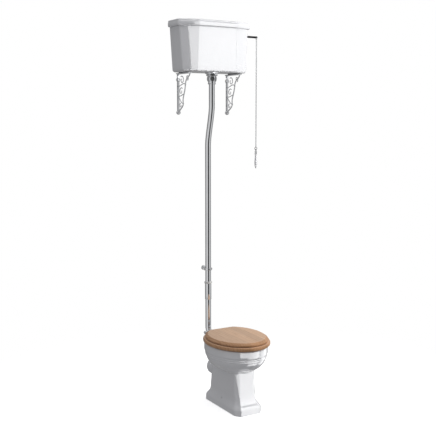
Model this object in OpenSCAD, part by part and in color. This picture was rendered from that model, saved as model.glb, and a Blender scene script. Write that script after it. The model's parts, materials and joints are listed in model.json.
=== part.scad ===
// High-level toilet: ceramic pan, wooden seat, wall-hung cistern on fretwork brackets,
// long flush pipe and a pull chain. Millimetres, +Z up, front towards -Y, origin on the
// floor midway between the two floor-fixing holes.

/* [Pan] */
// Height of the pan's rim
rim_z = 382; // [378:1:386]
// Half width of the rim
rim_hw = 172; // [165:1:180]
// Distance from the pan's axis to the front of the rim
rim_front = 228; // [220:1:235]
// Distance from the pan's axis to the back of the round rim
rim_back = 191; // [185:1:196]
// Place of the pan's axis along Y
pan_y = -20; // [-22:1:-18]
// Half width of the foot
foot_hw = 88.5; // [86:0.5:92]
// Half width of the pedestal
column_hw = 68; // [66:1:70]
// Distance between the two floor-fixing holes
floor_hole_gap = 148; // [144:1:150]
// Radius of a floor-fixing hole
floor_hole_r = 4; // [3:0.5:5]
// Outer radius of the waste outlet
outlet_r = 52; // [50:0.5:54]
// Height of the waste outlet's axis
outlet_z = 182; // [178:1:186]
// Place of the waste outlet's end along Y
outlet_end_y = 222; // [215:1:230]
// Height of the flush inlet's axis
inlet_z = 346; // [342:1:348]

/* [Seat] */
// Half width of the seat ring
seat_hw = 182; // [178:1:185]
// Front of the seat ring along Y
seat_front_y = -260; // [-265:1:-256]
// Thickness of the seat ring
seat_t = 20; // [18:1:20]
// Thickness of the seat lid
lid_t = 19; // [17:1:21]
// Half distance between the hinge posts
post_x = 70; // [68:1:74]
// Place of the hinge axis along Y
hinge_y = 158; // [157:1:159]

/* [Cistern] */
// Height of the cistern's bottom
tank_z0 = 1930; // [1925:1:1935]
// Height of the cistern's top edge
tank_z1 = 2186; // [2184:1:2190]
// Half width of the cistern at its top
tank_hw = 228; // [224:1:232]
// Thickness of the cistern's wall
tank_wall = 9; // [8:1:10]
// Height of the cistern lid
cover_t = 37; // [34:1:40]
// How far the cistern lid stands over the wall
cover_over = 12; // [10:1:14]
// Plane of the wall behind
wall_y = 355; // [352:1:360]
// Half distance between the brackets
bracket_x = 166; // [160:1:172]

/* [Flush pipe] */
// Outer radius of the flush pipe
pipe_r = 17.5; // [16:0.5:19]
// Upper run's axis along Y
pipe_y1 = 246; // [244:1:248]
// Lower run's axis along Y
pipe_y2 = 293; // [290:1:296]
// Height of the wall clip
clip_z = 760; // [700:10:900]

/* [Pull] */
// Lever's outer end along X
lever_tip_x = 306; // [300:1:312]
// Height of the lever
lever_z = 2148; // [2144:1:2152]
// Height of the chain's lower end
chain_z0 = 1473; // [1450:1:1550]
// Length of the pull handle
handle_len = 80; // [75:1:110]

/* [Hidden] */
$fn = 48;
eps = 0.5;                       // overrun of a cut past a face

// Seat heights
seat_z0 = rim_z + 6;
seat_z1 = seat_z0 + seat_t;
lid_z0 = seat_z1 + 3;
lid_z1 = lid_z0 + lid_t;
hinge_z = seat_z1 + 1.5;
wood_back_y = hinge_y - 12;
nut_z = rim_z - 48;                     // spot faces under the deck, for the hinge nuts
post_base_r = 13;
rod_r = 5;
running = 0.05;                  // radial clearance of a running fit
knuckle_r = 9;
strap_t = 2;
strap_w = 16;
seat_strap_x = 46;
lid_strap_x = 92;
lid_inset = 12;                  // how far the lid stays inside the seat's outline
seat_centre_y = -38;
seat_back_y = 183;               // where the round outline would end before it is cut straight

// Siphon, lever and valve places
chamber_x = 78;                  // siphon chamber and lift rod
riser_x = 40;
lever_pivot_x = 190;
lever_y = 243;
lever_t = 5;
valve_x = 43;
valve_y = 306;
valve_z = 2112;
arm_pivot = [14, valve_y, valve_z];
float_c = [-120, 285, 2085];
float_r = 43;
tank_back_y = 340;
tank_front_y = 176;
union_z = 1907;

// ---- curves and solids from functions -------------------------------------------------

function smooth_max(a, b, k) = let (h = max(k - abs(a - b), 0) / k) max(a, b) + h * h * k / 4;
function mix(a, b, t) = a + (b - a) * t;
// Value at z in a table of [z, value, value, ...] rows
function row_at(t, z, i) = z <= t[0][0] ? t[0][i] : z >= t[len(t) - 1][0] ? t[len(t) - 1][i] :
    [for (k = [0:len(t) - 2]) if (z >= t[k][0] && z < t[k + 1][0])
        mix(t[k][i], t[k + 1][i], (z - t[k][0]) / (t[k + 1][0] - t[k][0]))][0];
function unit(v) = v / norm(v);
// Cubic curve through four control points
function bezier(p, n) = [for (i = [0:n]) let (t = i / n)
    pow(1 - t, 3) * p[0] + 3 * t * pow(1 - t, 2) * p[1] + 3 * t * t * (1 - t) * p[2] + t * t * t * p[3]];
// Spiral round a centre, from angle a0 to a1, radius r0 to r1
function spiral(c, r0, r1, a0, a1, n) = [for (i = [0:n]) let (t = i / n, a = mix(a0, a1, t))
    c + mix(r0, r1, t) * [cos(a), sin(a)]];
// Arc round a centre
function arc(c, r, a0, a1, n) = [for (i = [0:n]) let (a = mix(a0, a1, i / n)) c + r * [cos(a), sin(a)]];
// Outline of a band of width w along a 2-D line
function side_of(p, i) = let (d = unit(p[min(i + 1, len(p) - 1)] - p[max(i - 1, 0)])) [-d.y, d.x];
function band(p, w) = concat([for (i = [0:len(p) - 1]) p[i] + side_of(p, i) * w / 2],
    [for (i = [len(p) - 1:-1:0]) p[i] - side_of(p, i) * w / 2]);

// Closed solid through rings of equal length, lowest ring first
module loft(rings) {
    n = len(rings[0]);
    m = len(rings);
    polyhedron(points = [for (r = rings) for (p = r) p], faces = concat(
        [[for (i = [0:n - 1]) i]],
        [for (j = [0:m - 2]) for (i = [0:n - 1]) let (k = (i + 1) % n)
            each [[j * n + i, j * n + n + i, j * n + n + k], [j * n + i, j * n + n + k, j * n + k]]],
        [[for (i = [n - 1:-1:0]) (m - 1) * n + i]]));
}

// Round tube of radius r along points in the YZ plane at x = 0
function tube_ring(p, d, r, n) = [for (i = [0:n - 1]) let (a = 360 * i / n)
    [0, p.x, p.y] + r * (cos(a) * [1, 0, 0] + sin(a) * [0, d.y, -d.x])];
module tube(line, r, n = 24) {
    last = len(line) - 1;
    loft([for (i = [last:-1:0])
        let (d = unit(line[max(i - 1, 0)] - line[min(i + 1, last)])) tube_ring(line[i], d, r[i], n)]);
}

module cyl_y(x, z, y0, y1, r) translate([x, y1, z]) rotate([90, 0, 0]) cylinder(r = r, h = y1 - y0);
module cyl_x(y, z, x0, x1, r) translate([x0, y, z]) rotate([0, 90, 0]) cylinder(r = r, h = x1 - x0);
module cyl_z(x, y, z0, z1, r) translate([x, y, z0]) cylinder(r = r, h = z1 - z0);
module ring_z(x, y, z0, z1, r0, r1) translate([x, y, 0]) difference() {
    cyl_z(0, 0, z0, z1, r1);
    cyl_z(0, 0, z0 - eps, z1 + eps, r0);
}
module hex_nut(x, y, z0, z1, flats, hole_r) difference() {
    translate([x, y, z0]) cylinder(r = flats / 2 / cos(30), h = z1 - z0, $fn = 6);
    cyl_z(x, y, z0 - eps, z1 + eps, hole_r);
}

// ---- pan ------------------------------------------------------------------------------

// Angles round the pan's axis on its right side; 20 and 31.5 degrees off the front are corners
SIDE = [-90, -82, -76, -70, -64, -58.5, -50, -40, -30, -20, -10, 0, 10, 20, 30, 40, 50, 56, 62, 66, 70,
    76, 83, 90];
AROUND = concat(SIDE, [for (i = [len(SIDE) - 2:-1:1]) 180 - SIDE[i]]);

// Pedestal: height, half width, front and back distance from the axis
COLUMN = [[0, foot_hw, 177, 197], [32, foot_hw, 177, 197], [38, foot_hw - 2, 175, 195.5],
    [46, foot_hw - 6, 169, 191], [56, foot_hw - 13, 158, 184], [70, foot_hw - 19, 147, 179],
    [86, foot_hw - 21, 140, 175.5], [104, column_hw + 0.5, 136, 174], [150, column_hw, 128, 168],
    [200, column_hw, 123, 160], [236, column_hw, 120, 152], [300, column_hw, 120, 140]];
function plane_r(d, c) = c > 0.001 ? d / c : 1e6;
function corner_plane(p, q, u) = let (n = unit([q.y - p.y, p.x - q.x])) plane_r(n * p, n * u);
function column_r(a, z) = let (w = row_at(COLUMN, z, 1), f = row_at(COLUMN, z, 2),
    b = row_at(COLUMN, z, 3), u = [abs(cos(a)), sin(a)])
    min(plane_r(w, u.x), plane_r(f, -u.y), plane_r(b, u.y),
        corner_plane([f * tan(20), -f], [w, -w * tan(58.5)], u),
        corner_plane([w, b - 12], [w - 10, b], u));

// Bowl: height and size as a share of the rim's outline
bowl_z = 310;                    // where the round bowl meets the moulding
bowl_depth = 100;
bowl_bend = 1.8;                 // 2 would be an ellipse
BAND = [[310, 0.935], [311, 0.955], [317, 0.966], [322, 0.962], [323, 0.97], [329, 0.979], [333, 0.976],
    [335, 0.983], [345, 1], [rim_z - 8, 1.0], [rim_z - 3, 0.997], [rim_z, 0.985]];
function bowl_share(z) = z < bowl_z ?
    BAND[0][1] * pow(max(0.0001, 1 - pow((bowl_z - z) / bowl_depth, bowl_bend)), 1 / bowl_bend)
    : row_at(BAND, z, 1);
function oval_r(a, w, f, b) = let (d = sin(a) < 0 ? f : b) 1 / sqrt(pow(cos(a) / w, 2) + pow(sin(a) / d, 2));
function bowl_r(a, z) = z < bowl_z - bowl_depth + 1 ? 1
    : bowl_share(z) * oval_r(a, rim_hw, rim_front, rim_back);
// Deck behind the rim that takes the hinge posts
deck_hw = 88;
deck_back = 178 - pan_y;
DECK = [[rim_z - 104, 0.4], [rim_z - 74, 0.6], [rim_z - 54, 0.7], [rim_z - 43, 0.97], [rim_z - 32, 1],
    [rim_z - 3, 1], [rim_z, 0.985]];
function deck_r(a, z) = sin(a) <= 0 ? 1 :
    row_at(DECK, z, 1) * pow(pow(abs(cos(a)) / deck_hw, 6) + pow(sin(a) / deck_back, 6), -1 / 6);
function pan_r(a, z) = smooth_max(
    smooth_max(column_r(a, min(z, 300)) * (z > 300 ? 0.9 : 1), bowl_r(a, z), 12),
    z > 300 ? deck_r(a, z) : 1, 10);
PAN_Z = [0, 32, 38, 46, 56, 70, 86, 104, 128, 160, 195, 214, 222, 228, 234, 242, 252, 264, 277, 290, 302,
    309.5, 311, 317, 322, 323, 329, 333, 335, 345, 356, rim_z - 8, rim_z - 3, rim_z];

function oval(w, f, b, y, z, n = 40) = [for (i = [0:n - 1]) let (a = 360 * i / n,
    r = oval_r(a, w, f, b)) [r * cos(a), y + r * sin(a), z]];

// Waterway from the bowl over the weir to the outlet, as [y, z]
TRAP = concat([[-46, 157]], arc([38, 150], 60, -140, -15, 8), arc([150, 142], 50, 165, 65, 6),
    arc([192, outlet_z + 50], 50, -105, -90, 1), [[212, outlet_z]]);
TRAP_BORE = [for (i = [0:len(TRAP) - 1]) max(38, 44 - 1.5 * i)];

module pan_body() resize([0, 0, 0]) difference() {
    union() {
        loft([for (z = PAN_Z) [for (a = AROUND) let (r = pan_r(a, z)) [r * cos(a), pan_y + r * sin(a), z]]]);
        tube(TRAP, [for (r = TRAP_BORE) r + 8]);
        translate([0, 212, inlet_z]) rotate([90, 0, 0]) cylinder(r = 31, h = 70, $fn = 40);
    }
    // space inside the pedestal, open at the foot
    difference() {
        loft([for (z = [-2, 100, 216]) [for (a = AROUND) let (r = column_r(a, 216) - 12)
            [r * cos(a), pan_y + r * sin(a), z]]]);
        loft([for (s = [[150, 56], [185, 70], [230, 104]]) oval(s[1], s[1] + 12, s[1], pan_y - 5, s[0])]);
        tube(TRAP, [for (r = TRAP_BORE) r + 8]);
    }
    // bowl, its rim channel and its mouth
    difference() {
        loft([oval(36, 38, 36, -30, 160), oval(44, 56, 50, -26, 190), oval(49, 78, 62, pan_y, 215),
            oval(62, 96, 74, pan_y, 235), oval(88, 124, 92, pan_y, 250), oval(116, 158, 112, pan_y, 270),
            oval(131, 178, 128, pan_y, 290), oval(142, 190, 140, pan_y, 312), oval(150, 202, 149, pan_y, 340),
            oval(154, 208, 152, pan_y, rim_z - 12)]);
        loft([for (z = [rim_z - 52, rim_z]) oval(130, 184, 120, pan_y, z)]);
    }
    loft([for (z = [rim_z - 64, rim_z + 2]) oval(119, 172, 108, pan_y, z)]);
    tube(TRAP, TRAP_BORE);
}
module pan() color("white") difference() {
    union() {
        pan_body();
        difference() {
            cyl_y(0, outlet_z, 192, outlet_end_y, outlet_r);
            cyl_y(0, outlet_z, 191, outlet_end_y + eps, outlet_r - 11);
        }
    }
    cyl_y(0, inlet_z, 110, 214, 22);
    for (s = [-1, 1]) {
        cyl_z(s * floor_hole_gap / 2, 0, -eps, 90, floor_hole_r);
        cyl_z(s * post_x, hinge_y, nut_z - 1, rim_z + eps, 6.5);
        cyl_z(s * post_x, hinge_y, nut_z - 66, nut_z, 16);
    }
}

// ---- seat and lid ---------------------------------------------------------------------

function seat_line(hw, front_y, inset, z, back_y = wood_back_y) = let (n = 64, w = hw - inset,
    f = seat_centre_y - front_y - inset, b = seat_back_y - seat_centre_y - inset)
    [for (i = [0:n - 1]) let (a = 360 * i / n, r = oval_r(a, w, f, b))
        [r * cos(a), min(seat_centre_y + r * sin(a), back_y - inset), z]];
function seat_hole(grow, z) = [for (i = [0:47])
    let (a = 360 * i / 48, r = oval_r(a, 112 + grow, 160 + grow, 112 + grow))
    [r * cos(a), seat_centre_y + r * sin(a), z]];
module seat_ring() color("tan") difference() {
    loft([seat_line(seat_hw, seat_front_y, 3, seat_z0), seat_line(seat_hw, seat_front_y, 0, seat_z0 + 4),
        seat_line(seat_hw, seat_front_y, 0, seat_z1 - 7), seat_line(seat_hw, seat_front_y, 2, seat_z1 - 3),
        seat_line(seat_hw, seat_front_y, 7, seat_z1)]);
    loft([seat_hole(0, seat_z0 - eps), seat_hole(0, seat_z1 - 6), seat_hole(8, seat_z1 + eps)]);
}
function lid_line(inset, z) = seat_line(seat_hw, seat_front_y, lid_inset + inset, z, wood_back_y + lid_inset);
module seat_lid() color("tan") loft([lid_line(2, lid_z0), lid_line(0, lid_z0 + 2), lid_line(0, lid_z0 + 9),
    lid_line(15, lid_z1)]);

module hinge_posts() color("silver") for (s = [-1, 1]) difference() {
    union() {
        cyl_z(s * post_x, hinge_y, rim_z + 2, rim_z + 6, post_base_r);
        cyl_z(s * post_x, hinge_y, rim_z + 6, hinge_z, 8);
        cyl_x(hinge_y, hinge_z, s * post_x - 8, s * post_x + 8, knuckle_r);
        cyl_z(s * post_x, hinge_y, nut_z - 20, rim_z + 3, 4);
    }
    cyl_x(hinge_y, hinge_z, s * post_x - 9, s * post_x + 9, rod_r);
}
module hinge_washers() color("dimgray") for (s = [-1, 1])
    ring_z(s * post_x, hinge_y, rim_z, rim_z + 2, 4, post_base_r);
module hinge_wing_nuts() color("gainsboro") for (s = [-1, 1])
    ring_z(s * post_x, hinge_y, nut_z - 14, nut_z, 4, 13);
module hinge_rod() color("silver") cyl_x(hinge_y, hinge_z, -104, 104, rod_r);

// Strap with a knuckle round the rod; plate_z is the plate's lower face
module hinge_strap(x, plate_z) difference() {
    union() {
        translate([x - strap_w / 2, hinge_y - 68, plate_z]) cube([strap_w, 68 - knuckle_r + 0.6, strap_t]);
        if (plate_z < seat_z0) translate([x - strap_w / 2, hinge_y - knuckle_r - 1.4, plate_z])
            cube([strap_w, strap_t, hinge_z - plate_z]);
        translate([x - strap_w / 2, hinge_y - knuckle_r - 1.4, hinge_z - 2]) cube([strap_w, 6, 3.5]);
        cyl_x(hinge_y, hinge_z, x - strap_w / 2, x + strap_w / 2, knuckle_r);
    }
    cyl_x(hinge_y, hinge_z, x - 10, x + 10, rod_r + running);
}
module seat_hinge_straps() color("silver") for (s = [-1, 1]) hinge_strap(s * seat_strap_x, seat_z0 - strap_t);
module lid_hinge_straps() color("silver") for (s = [-1, 1]) hinge_strap(s * lid_strap_x, lid_z0 - strap_t);
module strap_screws(x, z, h) for (s = [-1, 1]) for (y = [102, 130]) cyl_z(s * x, y, z - h, z, 3.5);
module seat_strap_screws() color("silver") strap_screws(seat_strap_x, seat_z0 - strap_t, 1);
module lid_strap_screws() color("silver") strap_screws(lid_strap_x, lid_z0 - strap_t, 0.6);
module seat_buffers() color("dimgray") for (s = [-1, 1]) for (y = [-150, 60])
    translate([s * (y < 0 ? 120 : 140), y, rim_z + 0.4]) cylinder(r = 9, h = seat_z0 - rim_z - 0.4);
module lid_buffers() color("dimgray") for (p = [[-95, -185], [95, -185], [0, -229]])
    translate([p.x, p.y, seat_z1 + 0.3]) cylinder(r = 7, h = lid_z0 - seat_z1 - 0.3);

// ---- cistern --------------------------------------------------------------------------

// Plan of the cistern at size g (0 at the bottom, 1 at the top), moved outwards by o
function tank_line(g, o, z) = let (w = mix(211, tank_hw, g) + o, c = mix(130, 120, g) + o * 0.42,
    f = tank_front_y - o, y = mix(206, 214, g) - o * 0.42, b = tank_back_y + min(o, 0))
    [[w, y, z], [w, b, z], [-w, b, z], [-w, y, z], [-c, f, z], [c, f, z]];
function tank_g(z) = (z - tank_z0) / (tank_z1 - tank_z0);
module cistern_tank() color("white") difference() {
    loft([tank_line(0, -12, tank_z0), tank_line(tank_g(tank_z0 + 4), -4, tank_z0 + 4),
        tank_line(tank_g(tank_z0 + 14), 0, tank_z0 + 14), tank_line(1, 0, tank_z1)]);
    loft([tank_line(0, -tank_wall - 6, tank_z0 + 10),
        tank_line(tank_g(tank_z0 + 22), -tank_wall, tank_z0 + 22),
        tank_line(1.002, -tank_wall, tank_z1 + eps)]);
    cyl_z(0, pipe_y1, tank_z0 - eps, tank_z0 + 30, 24);
    cyl_z(valve_x, valve_y, tank_z0 - eps, tank_z0 + 30, 11);
    translate([200, lever_y - 7, lever_z - 28]) cube([40, 14, 38]);
}
module cistern_lid() color("white") difference() {
    union() {
        loft([tank_line(1, cover_over - 5, tank_z1), tank_line(1, cover_over - 1, tank_z1 + 3),
            tank_line(1, cover_over, tank_z1 + 9), tank_line(1, cover_over, tank_z1 + cover_t - 14),
            tank_line(1, cover_over - 3, tank_z1 + cover_t - 8),
            tank_line(1, cover_over - 2, tank_z1 + cover_t - 4),
            tank_line(1, cover_over - 7, tank_z1 + cover_t)]);
        loft([tank_line(1, -tank_wall - 3, tank_z1 - 8), tank_line(1, -tank_wall - 3, tank_z1 + 5)]);
    }
    loft([tank_line(1, -tank_wall - 12, tank_z1 - 9), tank_line(1, -tank_wall - 14, tank_z1 + cover_t - 12)]);
}

// ---- brackets -------------------------------------------------------------------------

bracket_top = tank_z0 - 2.5;     // top face, under the rubber pad
bracket_z0 = 1700;               // lower fixing boss
bracket_hole_z1 = 1890;
front_edge = [[205, bracket_top - 4], [214, 1892], [255, 1905], [262, 1858]];
front_edge_low = [[262, 1858], [272, 1800], [300, 1790], [290, 1752]];
front_edge_foot = [[290, 1752], [290, 1732], [322, 1722], [344, 1704]];
module bracket_outline() {
    translate([345, bracket_z0]) square([wall_y - 345, bracket_top - bracket_z0]);
    translate([200, bracket_top - 9]) square([wall_y - 200, 9]);
    for (c = [front_edge, front_edge_low, front_edge_foot]) polygon(band(bezier(c, 10), 7));
    polygon(band(spiral([305, 1886], 24, 7, 60, 420, 20), 5));
    polygon(band(spiral([240, 1897], 16, 5, 250, -60, 14), 5));
    polygon(band(bezier([[262, 1860], [285, 1872], [296, 1862], [347, 1850]], 8), 5));
    polygon(band(spiral([315, 1822], 22, 6, 130, -200, 16), 5));
    polygon(band(bezier([[274, 1806], [300, 1806], [318, 1790], [347, 1796]], 8), 5));
    polygon(band(bezier([[347, 1792], [330, 1776], [322, 1760], [292, 1750]], 8), 5));
    polygon(band(spiral([322, 1740], 14, 5, 100, -190, 12), 5));
}
module bracket(x) color("silver") difference() {
    union() {
        translate([x - 3.5, 0, 0]) rotate([90, 0, 90]) linear_extrude(7) bracket_outline();
        translate([x - 14, 204, bracket_top - 6]) cube([28, wall_y - 204, 6]);
        for (z = [bracket_z0, bracket_hole_z1]) cyl_y(x, z, wall_y - 12, wall_y, 12.5);
        translate([x - 8, wall_y - 5, bracket_z0]) cube([16, 5, bracket_top - bracket_z0 - 1]);
    }
    for (z = [bracket_z0, bracket_hole_z1]) cyl_y(x, z, 300, wall_y + eps, 3);
}
module bracket_left() bracket(-bracket_x);
module bracket_right() bracket(bracket_x);
module bracket_pads() color("dimgray") for (s = [-1, 1])
    translate([s * bracket_x - 13, 222, bracket_top]) cube([26, 100, tank_z0 - bracket_top]);

// ---- siphon ---------------------------------------------------------------------------

chamber_z0 = 1944;
chamber_z1 = 2012;
tail_r = 23.5;                   // threaded tail through the cistern's bottom
crown_z = 2070;
crown_r = (riser_x) / 2;
module siphon_body() color("ivory") difference() {
    union() {
        cyl_z(0, pipe_y1, 1880, 1940, tail_r);
        cyl_z(0, pipe_y1, 1943, 1950, 31);
        cyl_z(0, pipe_y1, 1939, crown_z, 17);
        cyl_z(riser_x, pipe_y1, chamber_z1 - 10, crown_z, 16);
        cyl_z(chamber_x, pipe_y1, chamber_z0, chamber_z1, 48);
        translate([crown_r, pipe_y1, crown_z]) rotate([90, 0, 0]) rotate_extrude(angle = 180)
            translate([crown_r, 0]) circle(r = 16);
        cyl_z(chamber_x, pipe_y1, chamber_z1 - 1, chamber_z1 + 12, 7);
    }
    cyl_z(0, pipe_y1, 1879, crown_z, 14);
    cyl_z(riser_x, pipe_y1, chamber_z1 - 12, crown_z, 13);
    cyl_z(chamber_x, pipe_y1, chamber_z0 - eps, chamber_z1 - 3, 45.5);
    translate([crown_r, pipe_y1, crown_z]) rotate([90, 0, 0]) rotate_extrude(angle = 180)
        translate([crown_r, 0]) circle(r = 13);
    cyl_z(chamber_x, pipe_y1, chamber_z1 - 5, chamber_z1 + 13, 3.1);
}
module siphon_seal() color("dimgray") ring_z(0, pipe_y1, 1940, 1943, tail_r + 0.05, 30);
module siphon_backnut() color("silver") union() {
    hex_nut(0, pipe_y1, union_z + 3, tank_z0 - 7, 58, tail_r);
    ring_z(0, pipe_y1, tank_z0 - 7, tank_z0, tail_r, 39);
}
module siphon_piston() color("ivory") difference() {
    union() {
        cyl_z(chamber_x, pipe_y1, 1950, 1953, 44);
        cyl_z(chamber_x, pipe_y1, 1952, 2130, 3);
    }
    for (a = [0:60:300]) translate([chamber_x + 26 * cos(a), pipe_y1 + 26 * sin(a), 0])
        cyl_z(0, 0, 1949, 1954, 8);
}
module siphon_flap() color("gainsboro") ring_z(chamber_x, pipe_y1, 1953, 1954, 3, 43);
// Fork on top of the lift rod, with a cross pin through the lever's slot
module lift_link() color("silver") union() {
    difference() {
        translate([chamber_x - 6, lever_y - 8, 2124]) cube([12, 16, 34]);
        translate([chamber_x - 7, lever_y - 4, 2130]) cube([14, 8, 40]);
        cyl_z(chamber_x, pipe_y1, 2123, 2130, 3);
    }
    cyl_y(chamber_x, lever_z, lever_y - 5, lever_y + 5, 2.5);
}

// ---- flush pipe -----------------------------------------------------------------------

slant_z1 = 1714;                 // bends start here and end at slant_z0
slant_z0 = 1532;
join_z = 640;                    // the two lengths meet inside the coupling
bend_r = 60;
slant = atan((pipe_y2 - pipe_y1) / (slant_z1 - slant_z0 - 40));
// Pipe axis as [y, z], from the top down
UPPER = concat([[pipe_y1, union_z - 27], [pipe_y1, slant_z1 + 60]],
    bezier([[pipe_y1, slant_z1 + 30], [pipe_y1, slant_z1 - 40],
        [pipe_y2, slant_z0 + 40], [pipe_y2, slant_z0 - 30]], 16),
    [[pipe_y2, slant_z0 - 60], [pipe_y2, join_z + 2]]);
LOWER = concat([[pipe_y2, join_z], [pipe_y2, inlet_z + bend_r + 10]],
    arc([pipe_y2 - bend_r, inlet_z + bend_r], bend_r, 0, -90, 10),
    [[pipe_y2 - bend_r - 8, inlet_z], [184, inlet_z]]);
module pipe(line) difference() {
    tube(line, [for (p = line) pipe_r], 32);
    tube(concat([line[0] + [0, 1]], [for (i = [1:len(line) - 2]) line[i]],
        [line[len(line) - 1] + unit(line[len(line) - 1] - line[len(line) - 2])]),
        [for (p = line) pipe_r - 1.2], 32);
}
module flush_pipe_upper() color("silver") pipe(UPPER);
module flush_pipe_lower() color("silver") pipe(LOWER);
module flush_union_nut() color("silver") difference() {
    union() {
        hex_nut(0, pipe_y1, union_z - 27, union_z + 3, 50, tail_r + 0.05);
        ring_z(0, pipe_y1, union_z - 44, union_z - 27, pipe_r, 23);
    }
    cyl_z(0, pipe_y1, union_z - 27, union_z + 4, tail_r + 0.05);
}
module pipe_coupling() color("silver") ring_z(0, pipe_y2, 575, 672, pipe_r, 19.5);
module pipe_collar() color("gainsboro") ring_z(0, pipe_y2, 672, 684, pipe_r, 23);
module pipe_clip() color("silver") union() {
    ring_z(0, pipe_y2, clip_z - 7, clip_z + 7, pipe_r, 21);
    cyl_y(0, clip_z, pipe_y2 + 20, wall_y - 6, 4);
    cyl_y(0, clip_z, pipe_y2 - 26, pipe_y2 - 20, 4);
}
module clip_rosette() color("silver") union() {
    cyl_y(0, clip_z, wall_y - 4, wall_y, 14);
    cyl_y(0, clip_z, wall_y - 6, wall_y - 4, 9);
}
module flush_cone() color("dimgray") translate([0, 0, inlet_z]) rotate([90, 0, 0]) translate([0, 0, -224])
    rotate_extrude() polygon([[pipe_r, 0], [25, 0], [27, 4], [27, 12], [22, 12], [21.9, 40], [pipe_r, 40]]);

// ---- lever, chain and handle ----------------------------------------------------------

module lever_pin() color("silver") cyl_y(lever_pivot_x, lever_z, lever_y - 11, lever_y + 11, 3);
module lever_fulcrum() color("silver") difference() {
    union() {
        for (s = [-1, 1]) translate([lever_pivot_x - 8, lever_y + s * 9 - 2, lever_z - 24]) cube([16, 4, 34]);
        translate([lever_pivot_x - 8, lever_y - 11, lever_z - 28]) cube([31, 22, 5]);
    }
    cyl_y(lever_pivot_x, lever_z, lever_y - 12, lever_y + 12, 3);
}
lever_inner_x = 56;
module flush_lever() color("dimgray") difference() {
    union() {
        translate([lever_inner_x, lever_y - lever_t / 2, lever_z - 8]) cube([70, lever_t, 16]);
        translate([120, lever_y - lever_t / 2, lever_z - 6]) cube([lever_tip_x - 120, lever_t, 12]);
        cyl_y(lever_pivot_x, lever_z, lever_y - 5, lever_y + 5, 8);
        cyl_y(lever_tip_x, lever_z, lever_y - lever_t / 2, lever_y + lever_t / 2, 6.5);
    }
    cyl_y(lever_pivot_x, lever_z, lever_y - 6, lever_y + 6, 3 + running);
    cyl_y(lever_tip_x, lever_z, lever_y - 6, lever_y + 6, 3);
    translate([chamber_x - 14, lever_y - 6, lever_z - 4]) cube([19, 12, 8]);
}

ring_r = 7;                      // hook ring
link_r = 5.5;                    // chain link
wire_r = 1.1;
link_pitch = 2 * link_r - 2 * wire_r - 0.1;
hook_low_z = lever_z - 2 * ring_r;
chain_n = floor((hook_low_z - chain_z0) / link_pitch) - 1;
module torus(c, r, w, turn) translate(c) rotate([90, 0, turn])
    rotate_extrude() translate([r, 0]) circle(r = w, $fn = 16);
module chain_hook() color("silver") torus([lever_tip_x, lever_y, lever_z - ring_r], ring_r, 1.4, 90);
module pull_chain() color("silver") for (i = [0:chain_n - 1])
    torus([lever_tip_x, lever_y, hook_low_z + 1.4 + wire_r + 0.1 - link_r - i * link_pitch],
        link_r, wire_r, i % 2 * 90);
chain_end_z = hook_low_z + 1.4 + wire_r + 0.1 - link_r - (chain_n - 1) * link_pitch - link_r;
pull_ring_z = chain_end_z + wire_r + 1.5 + 0.1 - 8;
pull_ring_turn = chain_n % 2 * 90;
module pull_ring() color("dimgray") torus([lever_tip_x, lever_y, pull_ring_z], 8, 1.5, pull_ring_turn);
cap_z = pull_ring_z - 8 + 1.5 + 0.2;
neck_r = 4.2;
eye_r = 3;                       // eye for the pull ring
module handle_cap() color("silver") difference() {
    union() {
        cyl_z(lever_tip_x, lever_y, cap_z - 26, cap_z - 10, 7);
        cyl_z(lever_tip_x, lever_y, cap_z - 11, cap_z + 4, neck_r);
    }
    if (pull_ring_turn == 90) cyl_y(lever_tip_x, cap_z - 1.7, lever_y - 5, lever_y + 5, eye_r);
    if (pull_ring_turn == 0) cyl_x(lever_y, cap_z - 1.7, lever_tip_x - 5, lever_tip_x + 5, eye_r);
}
module pull_handle() color("whitesmoke") translate([lever_tip_x, lever_y, cap_z - 26 - handle_len])
    rotate_extrude() polygon([[0, 0], [5, 0], [7.5, 10], [8, 30], [6, 56], [5, 68], [7, 76],
        [7, handle_len], [0, handle_len]]);
module handle_finial() color("silver") translate([lever_tip_x, lever_y, cap_z - 26 - handle_len - 9])
    rotate_extrude() polygon([[0, 0], [2.6, 1], [4, 4], [3, 6], [5, 7], [5, 9], [0, 9]]);

// ---- float valve ----------------------------------------------------------------------

inlet_r = 10.4;                  // threaded tail for the supply pipe
shank_r = 10;                    // tail above it, through the cistern's bottom
module valve_body() color("goldenrod") difference() {
    union() {
        cyl_z(valve_x, valve_y, 1888, 1921, inlet_r);
        cyl_z(valve_x, valve_y, 1920, tank_z0 + 14, shank_r);
        cyl_z(valve_x, valve_y, tank_z0 + 12, tank_z0 + 20, 16);
        cyl_z(valve_x, valve_y, tank_z0 + 19, valve_z, 8);
        cyl_x(valve_y, valve_z, valve_x - 24, valve_x + 14, 10);
        for (s = [-1, 1]) translate([arm_pivot.x - 6, valve_y + s * 7.5 - 1.5, valve_z - 6])
            cube([14, 3, 12]);
    }
    cyl_x(valve_y, valve_z, valve_x - 25, valve_x + 4, 6 + running);
    cyl_y(arm_pivot.x, arm_pivot.z, valve_y - 10, valve_y + 10, 2 + running);
    cyl_z(valve_x, valve_y, 1887, valve_z, 5);
}
module valve_washer() color("dimgray") ring_z(valve_x, valve_y, tank_z0 + 10, tank_z0 + 12, shank_r, 16);
module valve_backnut() color("goldenrod") hex_nut(valve_x, valve_y, tank_z0 - 8, tank_z0, 28, shank_r);
module valve_piston() color("gainsboro") cyl_x(valve_y, valve_z, valve_x - 21, valve_x + 1, 6);
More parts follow.
